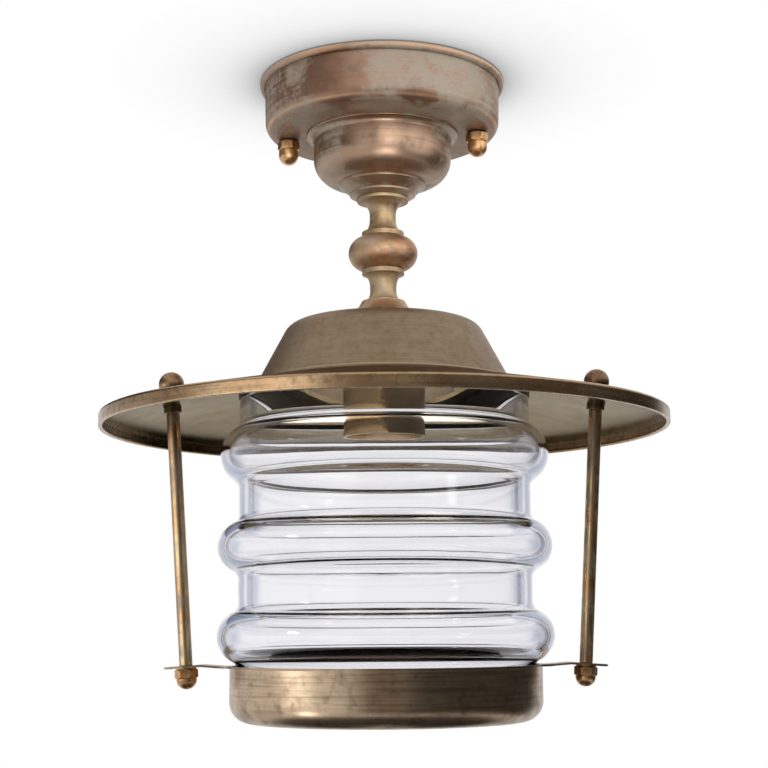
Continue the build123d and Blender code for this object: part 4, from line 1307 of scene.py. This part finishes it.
@dataclass(frozen=True)
class Softbox:
    """Square lamp that points at the lantern and is flagged so that it lights only some of its pieces."""

    name: str
    azimuth: float
    elevation: float
    size: float
    watts: float
    pieces: tuple[str, ...]
    distance: float = 1.45


POST_PIECES = ("left_post_drawn", "right_post_drawn")
STEM_PIECES = ("knop_turned", "left_canopy_cap_nut", "right_canopy_cap_nut", "upper_spool_turned",
               "lower_spool_turned", "collar_turned")
LOWER_PIECES = POST_PIECES + ("brim_spun", "cup_spun", "sleeve_drawn", "left_lug_cap_nut",
                              "right_lug_cap_nut", "left_ball_nut_turned", "right_ball_nut_turned",
                              "dome_spun")
CARD_COLUMNS, CARD_ROWS = 24, 8
DISC_SIDES = 64


def way_to(azimuth: float, elevation: float) -> Vector:
    """Way from the lantern towards an azimuth, counted from the front to the right, and an elevation."""
    a, e = math.radians(azimuth), math.radians(elevation)
    return Vector((math.sin(a) * math.cos(e), -math.cos(a) * math.cos(e), math.sin(e)))


@dataclass
class Studio:
    """White room with a pale floor, soft lamps, dark cards and the camera at the photograph's place."""

    aim: tuple[float, float, float] = (0.0, 0.0, -0.18)
    room_light: float = 0.75
    floor_height: float = -1.4
    floor_radius: float = 4.0
    # Only part of the white is added, so that the floor keeps the lantern's shadow
    floor_glow: float = 0.6
    film_height: float = 0.0002
    film_radius: float = 0.3
    # The ceiling's shadow: its reach, the openness where it is full, and how dark it then is
    shadow_reach: float = 0.09
    shadow_open: float = 0.4
    shadow_share: float = 0.85
    camera_back: float = -0.811
    camera_height: float = -0.2971
    camera_pitch: float = 9.12
    camera_roll: float = -0.42
    lens: float = 71.95
    sensor: float = 36.0
    cards: tuple[Card, ...] = (
        Card("right_card", "1b1815", 8.0, 140.0, -36.0, 15.0),
        Card("front_card", "766b60", -24.0, 16.0, -36.0, 13.0),
        Card("low_card", "080706", -180.0, 180.0, -89.9, -48.0, through_glass=True, shades=False,
             distance=1.1),
        Card("left_high_card", "2b2724", -172.0, -36.0, 9.5, 36.0, soft=16.0),
        Card("left_flag", "a0adc2", -168.0, -142.0, -40.0, 40.0, soft=11.0, in_metal=False,
             through_glass=True),
        Card("right_flag", "a0adc2", 142.0, 168.0, -40.0, 40.0, soft=11.0, in_metal=False,
             through_glass=True),
    )
    softboxes: tuple[Softbox, ...] = (
        Softbox("left_box", -66.0, -4.0, 0.5, 2.2, LOWER_PIECES),
        Softbox("lip_box", -44.0, 6.0, 0.9, 4.5, ("brim_spun",)),
        Softbox("post_box", -40.0, 2.0, 0.8, 4.0, POST_PIECES),
        Softbox("cup_box", -64.0, -33.0, 0.28, 2.2, ("cup_spun",)),
        Softbox("bowl_box", 8.0, -27.0, 0.5, 7.0, ("bowl_shell",)),
        Softbox("bowl_wall_box", 12.0, 16.0, 0.8, 5.0, ("bowl_shell",)),
        Softbox("canopy_box", 6.0, 17.0, 0.5, 3.0, ("canopy_shell",)),
        Softbox("stem_box", 6.0, -2.0, 1.2, 11.0, STEM_PIECES),
        Softbox("right_box", 62.0, 4.0, 1.4, 8.0, STEM_PIECES + ("bowl_shell", "canopy_shell")),
        Softbox("dome_fill", 0.0, -90.0, 0.08, 1.0, ("dome_spun",), distance=0.12),
        Softbox("glass_left_box", -64.0, 11.0, 0.16, 1.0, ("ribbed_glass",)),
        Softbox("glass_right_box", 52.0, 2.0, 0.18, 0.16, ("ribbed_glass",)),
    )

    def build(self) -> None:
        """Sets up the room, the lamps and the camera."""
        scene = bpy.context.scene
        scene.view_settings.view_transform = "Standard"
        self.room(scene)
        self.floor()
        self.ceiling_shadow()
        for card in self.cards:
            self.card(card)
        for box in self.softboxes:
            self.softbox(box)
        self.camera(scene)

    @staticmethod
    def white_to_eye(tree: Tree) -> Node:
        """Tells rays that show the room to the camera, directly or in metal or glass.

        Args:
            tree: The material's or the world's tree.

        Returns:
            The node that gives 1 for such rays, and else 0.
        """
        path = add(tree, "LightPath").outputs
        seen = add(tree, "Math", {"operation": "MAXIMUM"},
                   {0: path["Is Camera Ray"], 1: path["Is Glossy Ray"]})
        return add(tree, "Math", {"operation": "MAXIMUM"}, {0: seen, 1: path["Is Transmission Ray"]})

    @staticmethod
    def glow(piece: Piece, material: Material, code: str, share: Source, under: Source) -> None:
        """Finishes a stage piece with an even glow over another shader.

        Args:
            piece: The stage piece.
            material: Its material.
            code: Colour of the glow.
            share: How far the glow covers, from 0 to 1.
            under: The shader under it.
        """
        tree = material.node_tree
        light = add(tree, "Emission", {"Color": colour(code), "Strength": 1.0})
        both = add(tree, "MixShader", links={0: share, 1: under, 2: light})
        wire(tree, tree.nodes["Material Output"], links={"Surface": both})
        piece.data.materials.append(material)

    @staticmethod
    def disc(name: str, radius: float, place: Matrix) -> Piece:
        """Flat round stage piece.

        Args:
            name: Name of the piece.
            radius: Its radius, in metres.
            place: Where it lies.

        Returns:
            The new piece, in the scene.
        """
        form = bmesh.new()
        bmesh.ops.create_circle(form, cap_ends=True, segments=DISC_SIDES, radius=radius, matrix=place)
        return solid(name, form)

    @staticmethod
    def only_in(piece: Piece, camera: bool = False, glossy: bool = False, transmission: bool = False,
                shadow: bool = False) -> None:
        """Shows a stage piece only to some kinds of ray.

        Args:
            piece: The stage piece.
            camera: Whether the camera sees it.
            glossy: Whether metal mirrors it.
            transmission: Whether it shows through glass.
            shadow: Whether it casts a shadow.
        """
        piece.visible_camera = camera
        piece.visible_glossy = glossy
        piece.visible_transmission = transmission
        piece.visible_diffuse = False
        piece.visible_volume_scatter = False
        piece.visible_shadow = shadow

    def room(self, scene: bpy.types.Scene) -> None:
        """White all round for the eye, and softer as light.

        Args:
            scene: The scene that takes the world.
        """
        world = bpy.data.worlds.new("white room")
        world.use_nodes = True
        scene.world = world
        tree = world.node_tree
        tree.nodes.clear()
        level = add(tree, "MapRange", {3: self.room_light, 4: 1.0}, {0: self.white_to_eye(tree)})
        light = add(tree, "Background", {"Color": colour(WHITE)}, {"Strength": level})
        add(tree, "OutputWorld", links={"Surface": light})

    def floor(self) -> None:
        """Pale floor well below the lantern."""
        piece = self.disc("pale_floor", self.floor_radius, Matrix.Translation((0, 0, self.floor_height)))
        material, tree, shader = blank("pale floor")
        wire(tree, shader, {"Base Color": colour("f2f1ee")})
        share = add(tree, "Math", {"operation": "MULTIPLY", 1: self.floor_glow}, {0: self.white_to_eye(tree)})
        self.glow(piece, material, WHITE, share, shader)

    def ceiling_shadow(self) -> None:
        """Soft shadow that the canopy leaves on a white ceiling, on a film that is clear elsewhere."""
        place = Matrix.Translation((0, 0, self.film_height)) @ Matrix.Rotation(math.pi, 4, "X")
        piece = self.disc("ceiling_film", self.film_radius, place)
        material, tree, _ = blank("ceiling shadow")
        closed = add(tree, "AmbientOcclusion", {"samples": 24, "Distance": self.shadow_reach})
        share = add(tree, "MapRange", {1: self.shadow_open, 3: self.shadow_share, 4: 0.0},
                    {0: closed.outputs["AO"]})
        self.only_in(piece, camera=True)
        self.glow(piece, material, "3c3a38", share, add(tree, "BsdfTransparent"))

    def card(self, card: Card) -> None:
        """Stands a curved card round the lantern.

        Args:
            card: Its sizes and its grey.
        """
        form = bmesh.new()
        angles = [card.left + (card.right - card.left) * i / CARD_COLUMNS for i in range(CARD_COLUMNS + 1)]
        heights = [card.low + (card.high - card.low) * j / CARD_ROWS for j in range(CARD_ROWS + 1)]
        rows = [[form.verts.new(Vector(self.aim) + way_to(angle, height) * card.distance) for angle in angles]
                for height in heights]
        for low, high in zip(rows, rows[1:]):
            for i in range(CARD_COLUMNS):
                form.faces.new((low[i], low[i + 1], high[i + 1], high[i]))
        piece = solid(card.name, form)
        material, tree, _ = blank(f"grey card {card.name}")
        flat = add(tree, "VectorMath", FLATTEN, {0: add(tree, "TexCoord").outputs["Object"]})
        way = add(tree, "VectorMath", {"operation": "NORMALIZE"}, {0: flat})
        middle = way_to((card.left + card.right) / 2, 0.0)
        facing = add(tree, "VectorMath", {"operation": "DOT_PRODUCT", 1: middle}, {0: way})
        half = (card.right - card.left) / 2
        ramp = {1: math.cos(math.radians(half)), 2: math.cos(math.radians(half - card.soft))}
        share = add(tree, "MapRange", SMOOTH | ramp, {0: facing.outputs["Value"]})
        self.only_in(piece, glossy=card.in_metal, transmission=card.through_glass,
                     shadow=card.in_metal and card.shades)
        self.glow(piece, material, card.grey, share, add(tree, "BsdfTransparent"))

    def softbox(self, box: Softbox) -> None:
        """Hangs a soft lamp that points at the lantern.

        Args:
            box: Its place, its light and the pieces that it lights.
        """
        lamp = bpy.data.lights.new(box.name, "AREA")
        lamp.size = box.size
        lamp.energy = box.watts
        holder = bpy.data.objects.new(box.name, lamp)
        way = way_to(box.azimuth, box.elevation)
        holder.location = Vector(self.aim) + way * box.distance
        holder.rotation_mode = "QUATERNION"
        holder.rotation_quaternion = (-way).to_track_quat("-Z", "Y")
        lit = bpy.data.collections.new(f"{box.name}_pieces")
        for name in box.pieces:
            lit.objects.link(bpy.data.objects[name])
        holder.light_linking.receiver_collection = lit
        bpy.context.scene.collection.objects.link(holder)

    def camera(self, scene: bpy.types.Scene) -> None:
        """Puts the camera below the brim, looking up a little.

        Args:
            scene: The scene that takes the camera.
        """
        eye = bpy.data.cameras.new("photo_view")
        eye.lens = self.lens
        eye.sensor_width = self.sensor
        holder = bpy.data.objects.new("photo_view", eye)
        pitch = Matrix.Rotation(math.radians(90 + self.camera_pitch), 4, "X")
        roll = Matrix.Rotation(math.radians(self.camera_roll), 4, "Z")
        holder.matrix_world = Matrix.Translation((0, self.camera_back, self.camera_height)) @ pitch @ roll
        scene.collection.objects.link(holder)
        scene.camera = holder


def main() -> None:
    """Builds the lantern's looks piece by piece."""
    logging.basicConfig(level=logging.INFO, format="%(name)s: %(message)s")
    bench, fixing, shade = Bench(), CeilingFixing(), Shade()
    fixing.build(bench)
    Canopy().build(bench, fixing)
    Stem().build(bench)
    shade.build(bench)
    Lampholder().build(bench)
    Cradle().build(bench)
    Posts().build(bench, shade)
    Wiring().build(bench)
    Studio().build()


if __name__ == "__main__":
    main()
